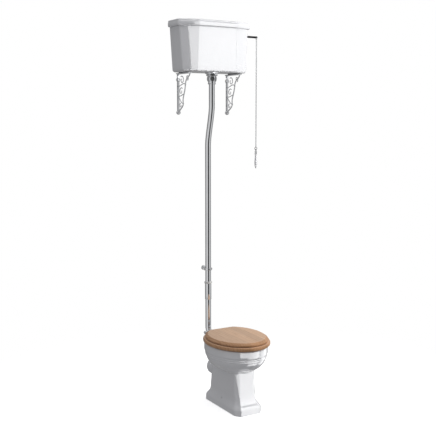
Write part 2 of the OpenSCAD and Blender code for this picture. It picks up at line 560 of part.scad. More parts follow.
module float_arm() color("goldenrod") union() {
    along = float_c - arm_pivot;
    cyl_y(arm_pivot.x, arm_pivot.z, valve_y - 5.6, valve_y + 5.6, 4);
    cyl_y(arm_pivot.x, arm_pivot.z, valve_y - 9, valve_y + 9, 2);
    translate(arm_pivot) rotate([0, acos(along.z / norm(along)), atan2(along.y, along.x)])
        cylinder(r = 2.5, h = norm(along) - float_r);
}
module float_ball() color("gainsboro") translate(float_c) difference() {
    sphere(r = float_r);
    sphere(r = float_r - 1.5);
}

// ---- assembly -------------------------------------------------------------------------

pan();
hinge_posts();
hinge_washers();
hinge_wing_nuts();
hinge_rod();
seat_ring();
seat_hinge_straps();
seat_strap_screws();
seat_buffers();
seat_lid();
lid_hinge_straps();
lid_strap_screws();
lid_buffers();
cistern_tank();
cistern_lid();
bracket_left();
bracket_right();
bracket_pads();
siphon_body();
siphon_seal();
siphon_backnut();
siphon_piston();
siphon_flap();
lift_link();
flush_union_nut();
flush_pipe_upper();
flush_pipe_lower();
pipe_coupling();
pipe_collar();
pipe_clip();
clip_rosette();
flush_cone();
lever_fulcrum();
lever_pin();
flush_lever();
chain_hook();
pull_chain();
pull_ring();
handle_cap();
pull_handle();
handle_finial();
valve_body();
valve_washer();
valve_backnut();
valve_piston();
float_arm();
float_ball();
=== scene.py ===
import json
import math

import bmesh
import bpy
import numpy as np
from mathutils import Matrix, Vector

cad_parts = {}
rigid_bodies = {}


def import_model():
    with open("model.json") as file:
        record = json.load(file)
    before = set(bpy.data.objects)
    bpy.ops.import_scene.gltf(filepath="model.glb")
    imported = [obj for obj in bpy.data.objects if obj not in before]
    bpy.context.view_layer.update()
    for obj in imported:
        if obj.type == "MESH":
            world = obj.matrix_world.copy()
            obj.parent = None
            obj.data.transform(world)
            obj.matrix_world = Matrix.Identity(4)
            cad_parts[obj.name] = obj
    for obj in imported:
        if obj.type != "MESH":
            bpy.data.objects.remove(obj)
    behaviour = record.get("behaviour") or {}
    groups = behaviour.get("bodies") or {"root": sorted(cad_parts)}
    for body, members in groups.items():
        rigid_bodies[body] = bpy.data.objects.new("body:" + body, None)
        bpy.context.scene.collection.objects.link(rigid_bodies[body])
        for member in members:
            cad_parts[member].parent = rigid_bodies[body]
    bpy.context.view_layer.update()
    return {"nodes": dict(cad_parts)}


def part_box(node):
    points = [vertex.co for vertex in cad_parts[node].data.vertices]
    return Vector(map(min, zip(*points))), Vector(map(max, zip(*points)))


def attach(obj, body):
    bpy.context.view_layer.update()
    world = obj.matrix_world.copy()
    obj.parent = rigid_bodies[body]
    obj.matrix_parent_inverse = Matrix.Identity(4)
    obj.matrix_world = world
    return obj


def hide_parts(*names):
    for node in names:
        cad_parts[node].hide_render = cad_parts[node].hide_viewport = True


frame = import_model()
MM = 0.001

# ---- sizes, in millimetres, from the frame where a node gives them ------------------------


def cad(node):
    """Lowest and highest corner of a CAD node, in millimetres."""
    low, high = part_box(node)
    return low / MM, high / MM


PAN_LOW, PAN_HIGH = cad("pan")
TANK_LOW, TANK_HIGH = cad("cistern_tank")
COVER_HIGH = cad("cistern_lid")[1]
SEAT_LOW, SEAT_HIGH = cad("seat_ring")
LID_LOW, LID_HIGH = cad("seat_lid")
ROD_LOW, ROD_HIGH = cad("hinge_rod")
RIM_Z = PAN_HIGH.z
PAN_Y = -20.0
FOOT_HW = 88.5
COLUMN_HW = 68.0
RIM_HW = PAN_HIGH.x
RIM_FRONT = PAN_Y - PAN_LOW.y
RIM_BACK = 191.0
HINGE_Y = (ROD_LOW.y + ROD_HIGH.y) / 2
HINGE_Z = (ROD_LOW.z + ROD_HIGH.z) / 2
ROD_R = (ROD_HIGH.z - ROD_LOW.z) / 2
POST_X = 70.0
WALL_Y = cad("clip_rosette")[1].y
PIPE_R = 17.5
PIPE_Y1 = 246.0
PIPE_Y2 = 293.0
UNION_Z = cad("siphon_backnut")[0].z - 3
INLET_Z = (cad("flush_cone")[0].z + cad("flush_cone")[1].z) / 2
NUT_Z = cad("hinge_wing_nuts")[1].z
OUTLET_Z = 182.0
OUTLET_R = 52.0
CLIP_Z = 760.0
PIPE_HOLE = 17.55  # bore of what grips the flush pipe
LEVER_X, LEVER_Y, LEVER_Z = 306.0, 243.0, 2148.0  # the lever's end, over the chain
PIVOT_X = 190
VALVE_X, VALVE_Y = 43, 306
BRACKET_X = 166.0

# ---- mesh building ------------------------------------------------------------------------


def skin(rings, caps=(True, True), loop=False):
    """Vertices and faces through rings of equal length, lowest or innermost first."""
    count, length = len(rings), len(rings[0])
    verts = [tuple(p) for ring in rings for p in ring]
    faces = []
    for j in range(count if loop else count - 1):
        a, b = j * length, (j + 1) % count * length
        for i in range(length):
            k = (i + 1) % length
            faces.append((a + i, a + k, b + k, b + i))
    if not loop and caps[0]:
        faces.append(tuple(range(length - 1, -1, -1)))
    if not loop and caps[1]:
        faces.append(tuple((count - 1) * length + i for i in range(length)))
    return verts, faces


def joined(*shells):
    """One list of vertices and one of faces from several shells."""
    verts, faces = [], []
    for v, f in shells:
        base = len(verts)
        verts += list(v)
        faces += [tuple(base + i for i in face) for face in f]
    return verts, faces


def moved(shell, offset=(0, 0, 0), turn=None):
    """A shell turned by a matrix and then moved."""
    verts, faces = shell
    turn = turn or Matrix.Identity(3)
    return [tuple(turn @ Vector(p) + Vector(offset)) for p in verts], faces


TO_Y = Matrix.Rotation(math.radians(-90), 3, "X")  # +Z becomes +Y
TO_X = Matrix.Rotation(math.radians(90), 3, "Y")  # +Z becomes +X
TO_FRONT = Matrix.Rotation(math.radians(90), 3, "X")  # +Z becomes -Y


def circle(r, z, n):
    """Points round Z at height z."""
    return [(r * math.cos(2 * math.pi * i / n), r * math.sin(2 * math.pi * i / n), z) for i in range(n)]


def lathe(profile, n=64, loop=False):
    """A turned shape round Z from (radius, height) points."""
    return skin([circle(r, z, n) for r, z in profile], loop=loop)


def ring_shape(r0, r1, z0, z1, edge=0.6, n=64):
    """A washer or sleeve with rounded edges."""
    e = min(edge, (z1 - z0) / 3, (r1 - r0) / 3)
    profile = [(r0, z0 + e), (r0 + e, z0), (r1 - e, z0), (r1 - e * 0.3, z0 + e * 0.3), (r1, z0 + e),
               (r1, z1 - e), (r1 - e * 0.3, z1 - e * 0.3), (r1 - e, z1), (r0 + e, z1), (r0, z1 - e)]
    return lathe(profile, n, loop=True)


def hex_shape(flats, z0, z1, hole, n=96):
    """A hexagon nut with chamfered corners and a bore."""
    rings = []
    rise = z1 - z0
    levels = [(0.0, 0.0), (0.03, 0.6), (0.12, 2.0), (0.3, 6.0), (0.7, 6.0), (0.88, 2.0), (0.97, 0.6),
        (1.0, 0.0)]
    for share, grow in levels:
        ring = []
        for i in range(n):
            a = 2 * math.pi * i / n
            side = (a + math.pi / 6) % (math.pi / 3) - math.pi / 6
            r = min(flats / 2 / math.cos(side), flats / 2 * 0.985 + grow)
            ring.append((r * math.cos(a), r * math.sin(a), z0 + share * rise))
        rings.append(ring)
    bore = [circle(hole, z, n) for z in (z1, z0)]
    return skin(rings + bore, loop=True)


def tube(line, radii, n=32, caps=(True, True), flat=1.0, side=None):
    """A tube along 3-D points. radii is one radius or one for each point; flat squeezes it along side."""
    line = [Vector(p) for p in line]
    radii = [radii] * len(line) if isinstance(radii, (int, float)) else radii
    rings, across = [], None
    for i, p in enumerate(line):
        ahead = (line[min(i + 1, len(line) - 1)] - line[max(i - 1, 0)]).normalized()
        if across is None:
            across = Vector(side) if side else (Vector((1, 0, 0)) if abs(ahead.x) < 0.9 else Vector((0, 1,
                0)))
        across = (across - ahead * across.dot(ahead)).normalized()
        up = ahead.cross(across)
        r = radii[i]
        rings.append([p + r * (math.cos(t) * across * flat + math.sin(t) * up)
                      for t in (2 * math.pi * k / n for k in range(n))])
    return skin(rings, caps)


def block(low, high, edge=1.0, steps=2):
    """A box with rounded edges."""
    bm = bmesh.new()
    bmesh.ops.create_cube(bm, size=1.0)
    low, high = Vector(low), Vector(high)
    size, middle = high - low, (low + high) / 2
    for v in bm.verts:
        v.co = Vector((v.co.x * size.x, v.co.y * size.y, v.co.z * size.z)) + middle
    bmesh.ops.bevel(bm, geom=bm.edges[:], offset=edge, segments=steps, affect="EDGES", profile=0.5)
    bm.verts.index_update()
    shell = [tuple(v.co) for v in bm.verts], [tuple(v.index for v in f.verts) for f in bm.faces]
    bm.free()
    return shell


def arc(centre, r, a0, a1, n):
    """Points of an arc in a plane, angles in degrees."""
    return [(centre[0] + r * math.cos(math.radians(a0 + (a1 - a0) * i / n)),
             centre[1] + r * math.sin(math.radians(a0 + (a1 - a0) * i / n))) for i in range(n + 1)]


def bezier(p, n):
    """Points of a cubic curve through four control points."""
    p = [Vector(q) for q in p]
    return [(1 - t) ** 3 * p[0] + 3 * t * (1 - t) ** 2 * p[1] + 3 * t * t * (1 - t) * p[2] + t ** 3 * p[3]
            for t in (i / n for i in range(n + 1))]


def spiral(centre, r0, r1, a0, a1, n):
    """Points of a spiral in a plane, angles in degrees."""
    return [Vector(centre) + (r0 + (r1 - r0) * i / n) * Vector((math.cos(a), math.sin(a)))
            for i, a in ((i, math.radians(a0 + (a1 - a0) * i / n)) for i in range(n + 1))]


def build(name, shell, sharp=35):
    """A mesh object, in metres, from a shell in millimetres, with outward faces."""
    verts, faces = shell
    mesh = bpy.data.meshes.new(name)
    mesh.from_pydata([tuple(c * MM for c in v) for v in verts], [], faces)
    mesh.validate()
    bm = bmesh.new()
    bm.from_mesh(mesh)
    bmesh.ops.remove_doubles(bm, verts=bm.verts, dist=1e-6)
    bmesh.ops.recalc_face_normals(bm, faces=bm.faces)
    bm.to_mesh(mesh)
    bm.free()
    obj = bpy.data.objects.new(name, mesh)
    bpy.context.scene.collection.objects.link(obj)
    smooth(obj, sharp)
    return obj


def smooth(obj, sharp=35):
    """Smooth shading, with an edge kept sharp where its faces turn by more than sharp degrees."""
    obj.data.shade_smooth()
    obj.data.set_sharp_from_angle(angle=math.radians(sharp))


def place(obj, material, body, slot, *nodes):
    """Gives a piece its material and body, and hides the CAD nodes it stands for. The slot is not used."""
    obj.data.materials.clear()
    obj.data.materials.append(material)
    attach(obj, body)
    if nodes:
        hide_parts(*nodes)
    return obj


def combine(obj, other, operation):
    """Applies a boolean of two closed meshes and removes the second."""
    step = obj.modifiers.new("combine", "BOOLEAN")
    step.operation = operation
    step.solver = "EXACT"
    step.object = other
    bpy.context.view_layer.objects.active = obj
    bpy.ops.object.modifier_apply(modifier=step.name)
    bpy.data.objects.remove(other)
    return obj


# ---- materials ----------------------------------------------------------------------------


class Nodes:
    """Short calls for building one material's node tree."""

    def __init__(self, name):
        self.material = bpy.data.materials.new(name)
        self.material.use_nodes = True
        self.tree = self.material.node_tree
        self.shader = self.tree.nodes["Principled BSDF"]

    def add(self, kind, **values):
        node = self.tree.nodes.new(kind)
        for key, value in values.items():
            if key in node.inputs:
                node.inputs[key].default_value = value
            else:
                setattr(node, key, value)
        return node

    def link(self, out, into):
        self.tree.links.new(out, into)

    def set(self, **values):
        for key, value in values.items():
            self.shader.inputs[key.replace("_", " ")].default_value = value

    def place(self, stretch=(1, 1, 1)):
        """Object coordinates, in metres, stretched."""
        where = self.add("ShaderNodeTexCoord")
        scaled = self.add("ShaderNodeMapping")
        scaled.inputs["Scale"].default_value = stretch
        self.link(where.outputs["Object"], scaled.inputs["Vector"])
        return scaled.outputs["Vector"]

    def noise(self, scale, detail=4.0, rough=0.5, at=None):
        node = self.add("ShaderNodeTexNoise", Scale=scale, Detail=detail, Roughness=rough)
        self.link(at or self.place(), node.inputs["Vector"])
        return node.outputs["Fac"]

    def ramp(self, fac, *stops):
        """Colour ramp; each stop is (position, colour)."""
        node = self.add("ShaderNodeValToRGB")
        points = node.color_ramp.elements
        while len(points) < len(stops):
            points.new(0.5)
        for point, (position, colour) in zip(points, stops):
            point.position = position
            point.color = (*colour, 1) if len(colour) == 3 else colour
        self.link(fac, node.inputs["Fac"])
        return node.outputs["Color"]

    def span(self, fac, low, high):
        node = self.add("ShaderNodeMapRange")
        node.inputs["To Min"].default_value = low
        node.inputs["To Max"].default_value = high
        self.link(fac, node.inputs["Value"])
        return node.outputs["Result"]

    def mix(self, fac, a, b, mode="MIX"):
        node = self.add("ShaderNodeMix", data_type="RGBA", blend_type=mode)
        for value, socket in ((fac, node.inputs["Factor"]), (a, node.inputs[6]), (b, node.inputs[7])):
            if hasattr(value, "links"):
                self.link(value, socket)
            else:
                socket.default_value = (*value, 1) if isinstance(value, tuple) else value
        return node.outputs[2]

    def bump(self, height, strength, distance, base=None):
        node = self.add("ShaderNodeBump", Strength=strength, Distance=distance)
        self.link(height, node.inputs["Height"])
        if base:
            self.link(base, node.inputs["Normal"])
        return node.outputs["Normal"]


def glaze():
    """White glaze over fired clay: a clear coat over a faintly uneven body."""
    m = Nodes("glazed_ceramic")
    tint = (0.83, 0.835, 0.85)
    low = tuple(c * 0.975 for c in tint)
    m.link(m.ramp(m.noise(9, 5), (0.3, low), (0.7, tint)), m.shader.inputs["Base Color"])
    m.link(m.span(m.noise(35, 3), 0.04, 0.08), m.shader.inputs["Roughness"])
    wave = m.bump(m.noise(30, 2), 0.04, 0.0010)
    m.link(m.bump(m.noise(900, 2), 0.015, 0.0002, wave), m.shader.inputs["Normal"])
    m.set(Coat_Weight=0.6, Coat_Roughness=0.03, IOR=1.5)
    return m.material


def metal(name, bright, dull, rough=(0.05, 0.11), grain=0.04):
    """Polished or turned metal with faint scuffs."""
    m = Nodes(name)
    m.link(m.ramp(m.noise(22, 6), (0.35, dull), (0.65, bright)), m.shader.inputs["Base Color"])
    scuff = m.noise(160, 6, 0.7, m.place((1, 1, 0.25)))
    m.link(m.span(scuff, *rough), m.shader.inputs["Roughness"])
    m.link(m.bump(m.noise(700, 3, 0.6, m.place((1, 1, 0.2))), grain, 0.0002), m.shader.inputs["Normal"])
    m.set(Metallic=1.0)
    return m.material


def oak():
    """Light oak staves with pores and rays under a satin varnish; the grain runs along Y."""
    m = Nodes("oak")
    staves = m.add("ShaderNodeTexWhiteNoise", noise_dimensions="1D")
    apart = m.add("ShaderNodeSeparateXYZ")
    m.link(m.place(), apart.inputs[0])
    count = m.add("ShaderNodeMath", operation="MULTIPLY_ADD")
    count.inputs[1].default_value = 17.0
    count.inputs[2].default_value = 0.5
    m.link(apart.outputs["X"], count.inputs[0])
    whole = m.add("ShaderNodeMath", operation="FLOOR")
    m.link(count.outputs[0], whole.inputs[0])
    m.link(whole.outputs[0], staves.inputs["W"])
    shift = m.add("ShaderNodeVectorMath", operation="MULTIPLY_ADD")
    shift.inputs[1].default_value = (3.0, 5.0, 2.0)
    m.link(staves.outputs["Color"], shift.inputs[0])
    m.link(m.place((1, 0.09, 1)), shift.inputs[2])
    along = shift.outputs[0]
    wander = m.noise(6, 3, 0.5, along)
    rings = m.add("ShaderNodeTexWave", Scale=26.0, Distortion=9.0, Detail=3.0)
    rings.inputs["Detail Scale"].default_value = 1.4
    m.link(along, rings.inputs["Vector"])
    base = m.ramp(rings.outputs["Fac"], (0.0, (0.62, 0.38, 0.23)), (0.35, (0.78, 0.52, 0.34)),
                  (1.0, (0.86, 0.60, 0.41)))
    base = m.mix(m.span(wander, 0.0, 0.55), base, (0.76, 0.49, 0.31))
    tone = m.ramp(staves.outputs["Value"], (0.0, (0.86, 0.86, 0.86)), (1.0, (1.08, 1.06, 1.04)))
    base = m.mix(1.0, base, tone, "MULTIPLY")
    fine = m.noise(520, 3, 0.6, m.place((1, 0.035, 0.5)))
    pores = m.ramp(fine, (0.30, (1, 1, 1)), (0.42, (0, 0, 0)))
    base = m.mix(m.span(pores, 0.0, 0.45), base, (0.34, 0.175, 0.08))
    # painted shade: the wood is darkened wherever its face turns away from straight up, on the rounded and
    # bevelled edges, the sides and the underside, so the flats on top read lighter as if lit from above
    facing = m.add("ShaderNodeNewGeometry")
    split = m.add("ShaderNodeSeparateXYZ")
    m.link(facing.outputs["Normal"], split.inputs[0])
    painted_shade = m.ramp(split.outputs["Z"], (0.0, (0.74, 0.60, 0.46)), (0.70, (0.70, 0.56, 0.42)),
        (0.86, (0.72, 0.60, 0.47)),
                   (0.99, (1.0, 1.0, 1.0)))
    base = m.mix(1.0, base, painted_shade, "MULTIPLY")
    m.link(base, m.shader.inputs["Base Color"])
    m.link(m.span(m.noise(60, 4), 0.30, 0.44), m.shader.inputs["Roughness"])
    grain = m.bump(pores, 0.18, -0.0004)
    m.link(m.bump(rings.outputs["Fac"], 0.05, 0.0006, grain), m.shader.inputs["Normal"])
    m.set(Coat_Weight=0.25, Coat_Roughness=0.22, IOR=1.48)
    return m.material


def moulded(name, pale, dark, rough=(0.3, 0.42), grain=0.1):
    """Moulded plastic or rubber with a fine grain."""
    m = Nodes(name)
    m.link(m.ramp(m.noise(18, 5), (0.3, dark), (0.7, pale)), m.shader.inputs["Base Color"])
    m.link(m.span(m.noise(70, 4), *rough), m.shader.inputs["Roughness"])
    m.link(m.bump(m.noise(350.0, 4), grain, 0.0004), m.shader.inputs["Normal"])
    return m.material


GLAZE = glaze()
CHROME = metal("chrome", (0.86, 0.87, 0.89), (0.80, 0.81, 0.83))
DARK = metal("dark_metal", (0.028, 0.028, 0.03), (0.016, 0.016, 0.018), (0.22, 0.34))
BRASS = metal("brass", (0.78, 0.58, 0.28), (0.66, 0.47, 0.21), (0.18, 0.32), 0.10)
OAK = oak()
RUBBER = moulded("rubber", (0.05, 0.05, 0.05), (0.025, 0.025, 0.025), (0.55, 0.75), 0.2)
PLASTIC = moulded("white_plastic", (0.80, 0.80, 0.78), (0.74, 0.74, 0.72))
ROOT = "pan_and_cistern"

# ---- pan ----------------------------------------------------------------------------------

TURN = 168  # points round the pan and the seat
ANGLES = np.linspace(-math.pi / 2, 1.5 * math.pi, TURN, endpoint=False)
# (height, half width, reach to the front, reach to the back) of the pedestal
COLUMN = [(0, FOOT_HW, 177, 197), (32, FOOT_HW, 177, 197), (38, FOOT_HW - 2, 175, 195.5),
          (46, FOOT_HW - 6, 169, 191), (56, FOOT_HW - 13, 158, 184), (70, FOOT_HW - 19, 147, 179), (86,
              COLUMN_HW - 0.5, 140, 175.5),
          (104, COLUMN_HW + 0.5, 136, 174), (150, COLUMN_HW, 128, 168), (200, COLUMN_HW, 123, 160),
          (236, COLUMN_HW, 120, 152), (300, COLUMN_HW, 120, 140)]
# (height, share of the rim's oval) of the moulded band under the rim
BAND = [(310, 0.935), (311.2, 0.954), (314, 0.962), (317, 0.966), (320, 0.965), (322, 0.962), (323, 0.969),
        (326, 0.9755), (329, 0.979), (331.5, 0.9785), (333, 0.976), (334.4, 0.981), (336, 0.9855),
        (340, 0.9945), (345, 1), (RIM_Z - 8, 1), (RIM_Z - 3, 0.997), (RIM_Z, 0.985)]
BOWL_Z = 310.0
BOWL_DEPTH = 100.0
BOWL_BEND = 1.8
DECK_HW = 88.0
DECK_BACK = 198.0
CORNER = 4.0  # how softly the pedestal's planes meet
FRONT_TURN, SIDE_TURN = 20, 58.5  # where the corner's flat starts and ends, in degrees
TRAP_WALL = 8
BOWL_MOUTH = (119, 172, 108)


def between(table, z, column):
    """Value at z in a column of a table, on straight lines between its rows."""
    heights = [row[0] for row in table]
    return float(np.interp(z, heights, [row[column] for row in table]))


def soft_max(a, b, k):
    """The larger of two values, rounded over where they are within k of each other."""
    h = np.maximum(k - np.abs(a - b), 0) / k
    return np.maximum(a, b) + h * h * k / 4


def soft_min(a, b, k):
    return -soft_max(-a, -b, k)


def oval_r(angles, w, f, b):
    """Radius of an oval of half width w that reaches f to the front and b to the back."""
    depth = np.where(np.sin(angles) < 0, f, b)
    return 1 / np.sqrt((np.cos(angles) / w) ** 2 + (np.sin(angles) / depth) ** 2)


def plane_r(distance, facing):
    """Radius at which a ray meets a plane; facing is the cosine of the angle between them."""
    return np.where(facing > 0.02, distance / np.maximum(facing, 0.02), 4000.0)


def column_r(angles, z):
    """Plan of the pedestal: flat front, sides and back, and a flat across each corner."""
    w, f, b = (between(COLUMN, z, i) for i in (1, 2, 3))
    x, y = np.abs(np.cos(angles)), np.sin(angles)
    r = soft_min(plane_r(w, x), soft_min(plane_r(f, -y), plane_r(b, y), CORNER), CORNER)
    front = (Vector((f * math.tan(math.radians(FRONT_TURN)), -f)),
        Vector((w, -w * math.tan(math.radians(SIDE_TURN)))))
    back = (Vector((w, b - 12)), Vector((w - 10, b)))
    for p, q in (front, back):
        normal = Vector((q.y - p.y, p.x - q.x)).normalized()
        r = soft_min(r, plane_r(normal.dot(p), normal.x * x + normal.y * y), CORNER)
    return r


def bowl_r(angles, z):
    if z < BOWL_Z - BOWL_DEPTH + 1:
        return np.ones_like(angles)
    share = between(BAND, z, 1)
    if z < BOWL_Z:
        share = BAND[0][1] * max(0.0001, 1 - ((BOWL_Z - z) / BOWL_DEPTH) ** BOWL_BEND) ** (1 / BOWL_BEND)
    return share * oval_r(angles, RIM_HW, RIM_FRONT, RIM_BACK)


def deck_r(angles, z):
    """The flat behind the bowl that takes the hinge posts."""
    heights = [RIM_Z - drop for drop in (104, 74, 54, 43, 32, 3, 0)]
    grow = np.interp(z, heights, [0.4, 0.6, 0.7, 0.97, 1, 1, 0.985])
    r = (np.abs(np.cos(angles) / DECK_HW) ** 6 + np.abs(np.sin(angles) / DECK_BACK) ** 6) ** (-1 / 6)
    return np.where(np.sin(angles) <= 0, 1.0, grow * r)


def pan_r(angles, z):
    r = soft_max(column_r(angles, min(z, 300)) * (0.9 if z > 300 else 1), bowl_r(angles, z), 14)
    return soft_max(r, deck_r(angles, z) if z > 300 else np.ones_like(angles), 10)


def pan_ring(radii, z, y=PAN_Y):
    return [(r * math.cos(a), y + r * math.sin(a), z) for a, r in zip(ANGLES, radii)]


def pan_oval(w, f, b, y, z):
    return pan_ring(oval_r(ANGLES, w, f, b), z, y)


WATERWAY = [(-46, 157)] + arc((38, 150), 60, -140, -15, 12) + arc((150, 142), 50, 165, 65, 10) \
    + arc((192, OUTLET_Z + 50), 50, -105, -90, 2) + [(212, OUTLET_Z)]
WATERWAY_R = np.interp(np.arange(len(WATERWAY)), [0, len(WATERWAY) * 0.25], [44, 38]).tolist()


def pan():
    heights = [0, 1.5, 4, 12, 24, 30, 33, 35.5, 38, 41, 46, 51, 56, 63, 70, 78, 86, 95, 104, 120, 140, 160,
        180,
               195, 204, 209, 212, 215, 218, 222, 227, 232, 238, 244, 250, 256, 262, 268, 275, 282, 290,
               296, 302,
               307, 309.5, 310.5, 311.2, 313, 316, 319, 321, 322, 323, 325, 328, 330.5, 332.5, 333.5, 334.5,
               336,
               338, 341, 345, 349, 354, 360, 366, 371]
    heights += [RIM_Z - drop for drop in (8, 5, 3, 1.2, 0.4, 0)]
    rings = [pan_ring(pan_r(ANGLES, 0) - 2.0, 0.0), pan_ring(pan_r(ANGLES, 0) - 0.7, 0.5)]
    rings += [pan_ring(pan_r(ANGLES, z), z) for z in heights[1:]]
    mouth = [(1.00, RIM_Z), (0.35, RIM_Z), (0.12, RIM_Z - 0.8), (0.03, RIM_Z - 3), (0.0, RIM_Z - 7)]
    outer, inner = pan_r(ANGLES, RIM_Z), oval_r(ANGLES, *BOWL_MOUTH)
    rings += [pan_ring(inner + (outer - inner) * share, z) for share, z in mouth[1:]]
    rings += [pan_oval(*BOWL_MOUTH, PAN_Y, RIM_Z - drop) for drop in (19, 34, 46)]
    rings += [pan_oval(120.5, 173.5, 109.5, PAN_Y, RIM_Z - 50),
        pan_oval(124.5, 178, 114, PAN_Y, RIM_Z - 52)]
    rings += [pan_oval(128.5, 182.5, 118.5, PAN_Y, RIM_Z - 50), pan_oval(130, 184, 120, PAN_Y, RIM_Z - 46)]
    rings += [pan_oval(130, 184, 120, PAN_Y, RIM_Z - 18), pan_oval(134, 188, 126, PAN_Y, RIM_Z - 12.5)]
    rings += [pan_oval(150, 203, 148, PAN_Y, RIM_Z - 12.5), pan_oval(154, 208, 152, PAN_Y, RIM_Z - 18)]
    inside = [(340, 150, 202, 149, PAN_Y), (327, 146, 196, 144.5, PAN_Y), (312, 142, 190, 140, PAN_Y),
              (300, 137, 184.5, 134.5, PAN_Y), (290, 131, 178, 128, PAN_Y), (280, 124.5, 169.5, 121.5,
                  PAN_Y),
              (270, 116, 158, 112, PAN_Y), (260, 103.5, 142, 103, PAN_Y), (250, 88.5, 124.5, 92.5, PAN_Y),
              (242, 75, 109.5, 82.5, PAN_Y), (235, 63, 97, 74, PAN_Y), (226, 55.5, 87, 68, PAN_Y),
              (215, 49.5, 77, 61.5, -20.8), (203, 46.5, 66.5, 56, -23), (190, 44, 56.5, 50, -26),
              (172, 39.5, 46, 43, -28.4), (163, 36.5, 38.5, 37, -29.8), (160, 30, 30, 30, -30)]
    rings += [pan_oval(w, f, b, y, z) for z, w, f, b, y in inside]
    body = build("pan_ceramic", skin(rings))
    line = [(0, y, z) for y, z in WATERWAY]
    walls = [r + TRAP_WALL for r in WATERWAY_R]
    spigot = [(188, 47), (191, 49.5), (194, 51.4), (197, OUTLET_R), (217, OUTLET_R), (220, 51), (222, 48.5)]
    outside = line[:-2] + [(0, y, OUTLET_Z) for y, _ in spigot]
    combine(body, build("trap", tube(outside, walls[:-2] + [r for _, r in spigot], 56)), "UNION")
    horn = [(142, 24), (150, 29), (160, 31), (206, 31), (210, 30), (212, 28)]
    combine(body, build("horn", tube([(0, y, INLET_Z) for y, _ in horn], [r for _, r in horn], 48)),
        "UNION")
    hollow = build("hollow", skin([pan_ring(column_r(ANGLES, 216) - 12, z) for z in (-2, 100, 205)]))
    keep = [pan_oval(s, s + 12, s, PAN_Y - 5, z) for z, s in ((150, 56), (185, 70), (230, 104))]
    combine(hollow, build("keep_bowl", skin(keep)), "DIFFERENCE")
    combine(hollow, build("keep_trap", tube(line, walls, 48)), "DIFFERENCE")
    combine(body, hollow, "DIFFERENCE")
    combine(body, build("waterway", tube(line, WATERWAY_R, 48)), "DIFFERENCE")
    combine(body, build("spigot_bore", tube([(0, 205, OUTLET_Z), (0, 230, OUTLET_Z)], OUTLET_R - 11, 64)),
        "DIFFERENCE")
    combine(body, build("inlet_bore", tube([(0, 110, INLET_Z), (0, 220, INLET_Z)], 22, 48)), "DIFFERENCE")
    for side in (-1, 1):
        floor_hole = [(side * 74, 0, z) for z in (-2, 90)]
        combine(body, build("floor_hole", tube(floor_hole, 4, 24)), "DIFFERENCE")
        deck_hole = [(side * POST_X, HINGE_Y, z) for z in (NUT_Z - 40, RIM_Z + 6)]
        combine(body, build("deck_hole", tube(deck_hole, 6.5, 24)), "DIFFERENCE")
        face = [(side * POST_X, HINGE_Y, z) for z in (NUT_Z - 66, NUT_Z)]
        combine(body, build("nut_face", tube(face, 16, 32)), "DIFFERENCE")
    smooth(body, 32)
    place(body, GLAZE, ROOT, "glazed_ceramic", "pan")


# ---- seat and lid ---------------------------------------------------------------------------

SEAT_Y = -38.0
WOOD_BACK = SEAT_HIGH.y


def outline(grow, z, half_width=SEAT_HIGH.x, front=SEAT_LOW.y):
    """Outline of the wood at height z: an oval whose back is cut straight."""
    w, f, b = half_width + grow, SEAT_Y - front + grow, 183 - SEAT_Y + half_width - SEAT_HIGH.x + grow
    radii = oval_r(ANGLES, w, f, b)
    return [(r * math.cos(a), min(SEAT_Y + r * math.sin(a), WOOD_BACK + min(grow, 0)), z)
            for a, r in zip(ANGLES, radii)]


def opening(grow, z):
    radii = oval_r(ANGLES, 112 + grow, 160 + grow, 112 + grow)
    return pan_ring(radii, z, SEAT_Y)


def quarter(r, rise, z, direction, n=5):
    """(inset, height) points of a rounded edge: from the side face to the top or bottom face."""
    steps = [math.pi / 2 * i / n for i in range(n + 1)]
    return [(r * (1 - math.cos(t)), z + direction * rise * math.sin(t)) for t in steps]


def seat():
    z0, z1 = SEAT_LOW.z, SEAT_HIGH.z
    rings = [outline(-inset, z) for inset, z in reversed(quarter(5, 5, z0 + 5, -1))]
    rings += [outline(-inset, z) for inset, z in quarter(9, 8, z1 - 8, 1, 7)]
    rings += [opening(inset, z) for inset, z in reversed(quarter(10, 8, z1 - 8, 1, 7))]
    rings += [opening(inset, z) for inset, z in quarter(3, 3, z0 + 3, -1, 3)]
    place(build("seat_oak", skin(rings, loop=True), 40), OAK, "seat", "oak", "seat_ring")
    for name, spots, r, z, top in (
            ("seat_buffer", [(s * (120 if y < 0 else 140), y) for s in (-1, 1) for y in (-150, 60)], 9,
             cad("seat_buffers")[0].z, z0),
            ("lid_buffer", [(-95, -185), (95, -185), (0, -229)], 7, cad("lid_buffers")[0].z, LID_LOW.z)):
        domes = [moved(lathe([(r - 3, z), (r - 1.2, z + 0.4), (r - 0.2, z + (top - z) * 0.3), (r, top)],
            40), (x, y, 0))
                 for x, y in spots]
        body, node = ("seat", "seat_buffers") if name == "seat_buffer" else ("lid", "lid_buffers")
        place(build(name + "s_moulded", joined(*domes)), RUBBER, body, "rubber", node)


def lid():
    z0, z1 = LID_LOW.z, LID_HIGH.z
    half, front = LID_HIGH.x, LID_LOW.y
    section = [(3, z0), (1, z0 + 0.6), (0.2, z0 + 1.6), (0, z0 + 3), (0, z0 + 7.5), (0.5, z0 + 9),
        (1.6, z0 + 10.2),
               (4.6, z0 + 12.0), (9.3, z0 + 14.8), (13.2, z1 - 1.6), (14.8, z1 - 0.6), (17, z1 - 0.05), (21,
                   z1)]
    rings = [outline(-inset, z, half, front) for inset, z in section]
    place(build("lid_oak", skin(rings), 40), OAK, "lid", "oak", "seat_lid")


def screw_head(x, y, z, r, down=1.0):
    """A domed screw head that faces down."""
    head = lathe([(0.2, z - down), (r * 0.6, z - down * 0.85), (r * 0.9, z - down * 0.45), (r, z),
        (0.2, z)], 24)
    return moved(head, (x, y, 0))


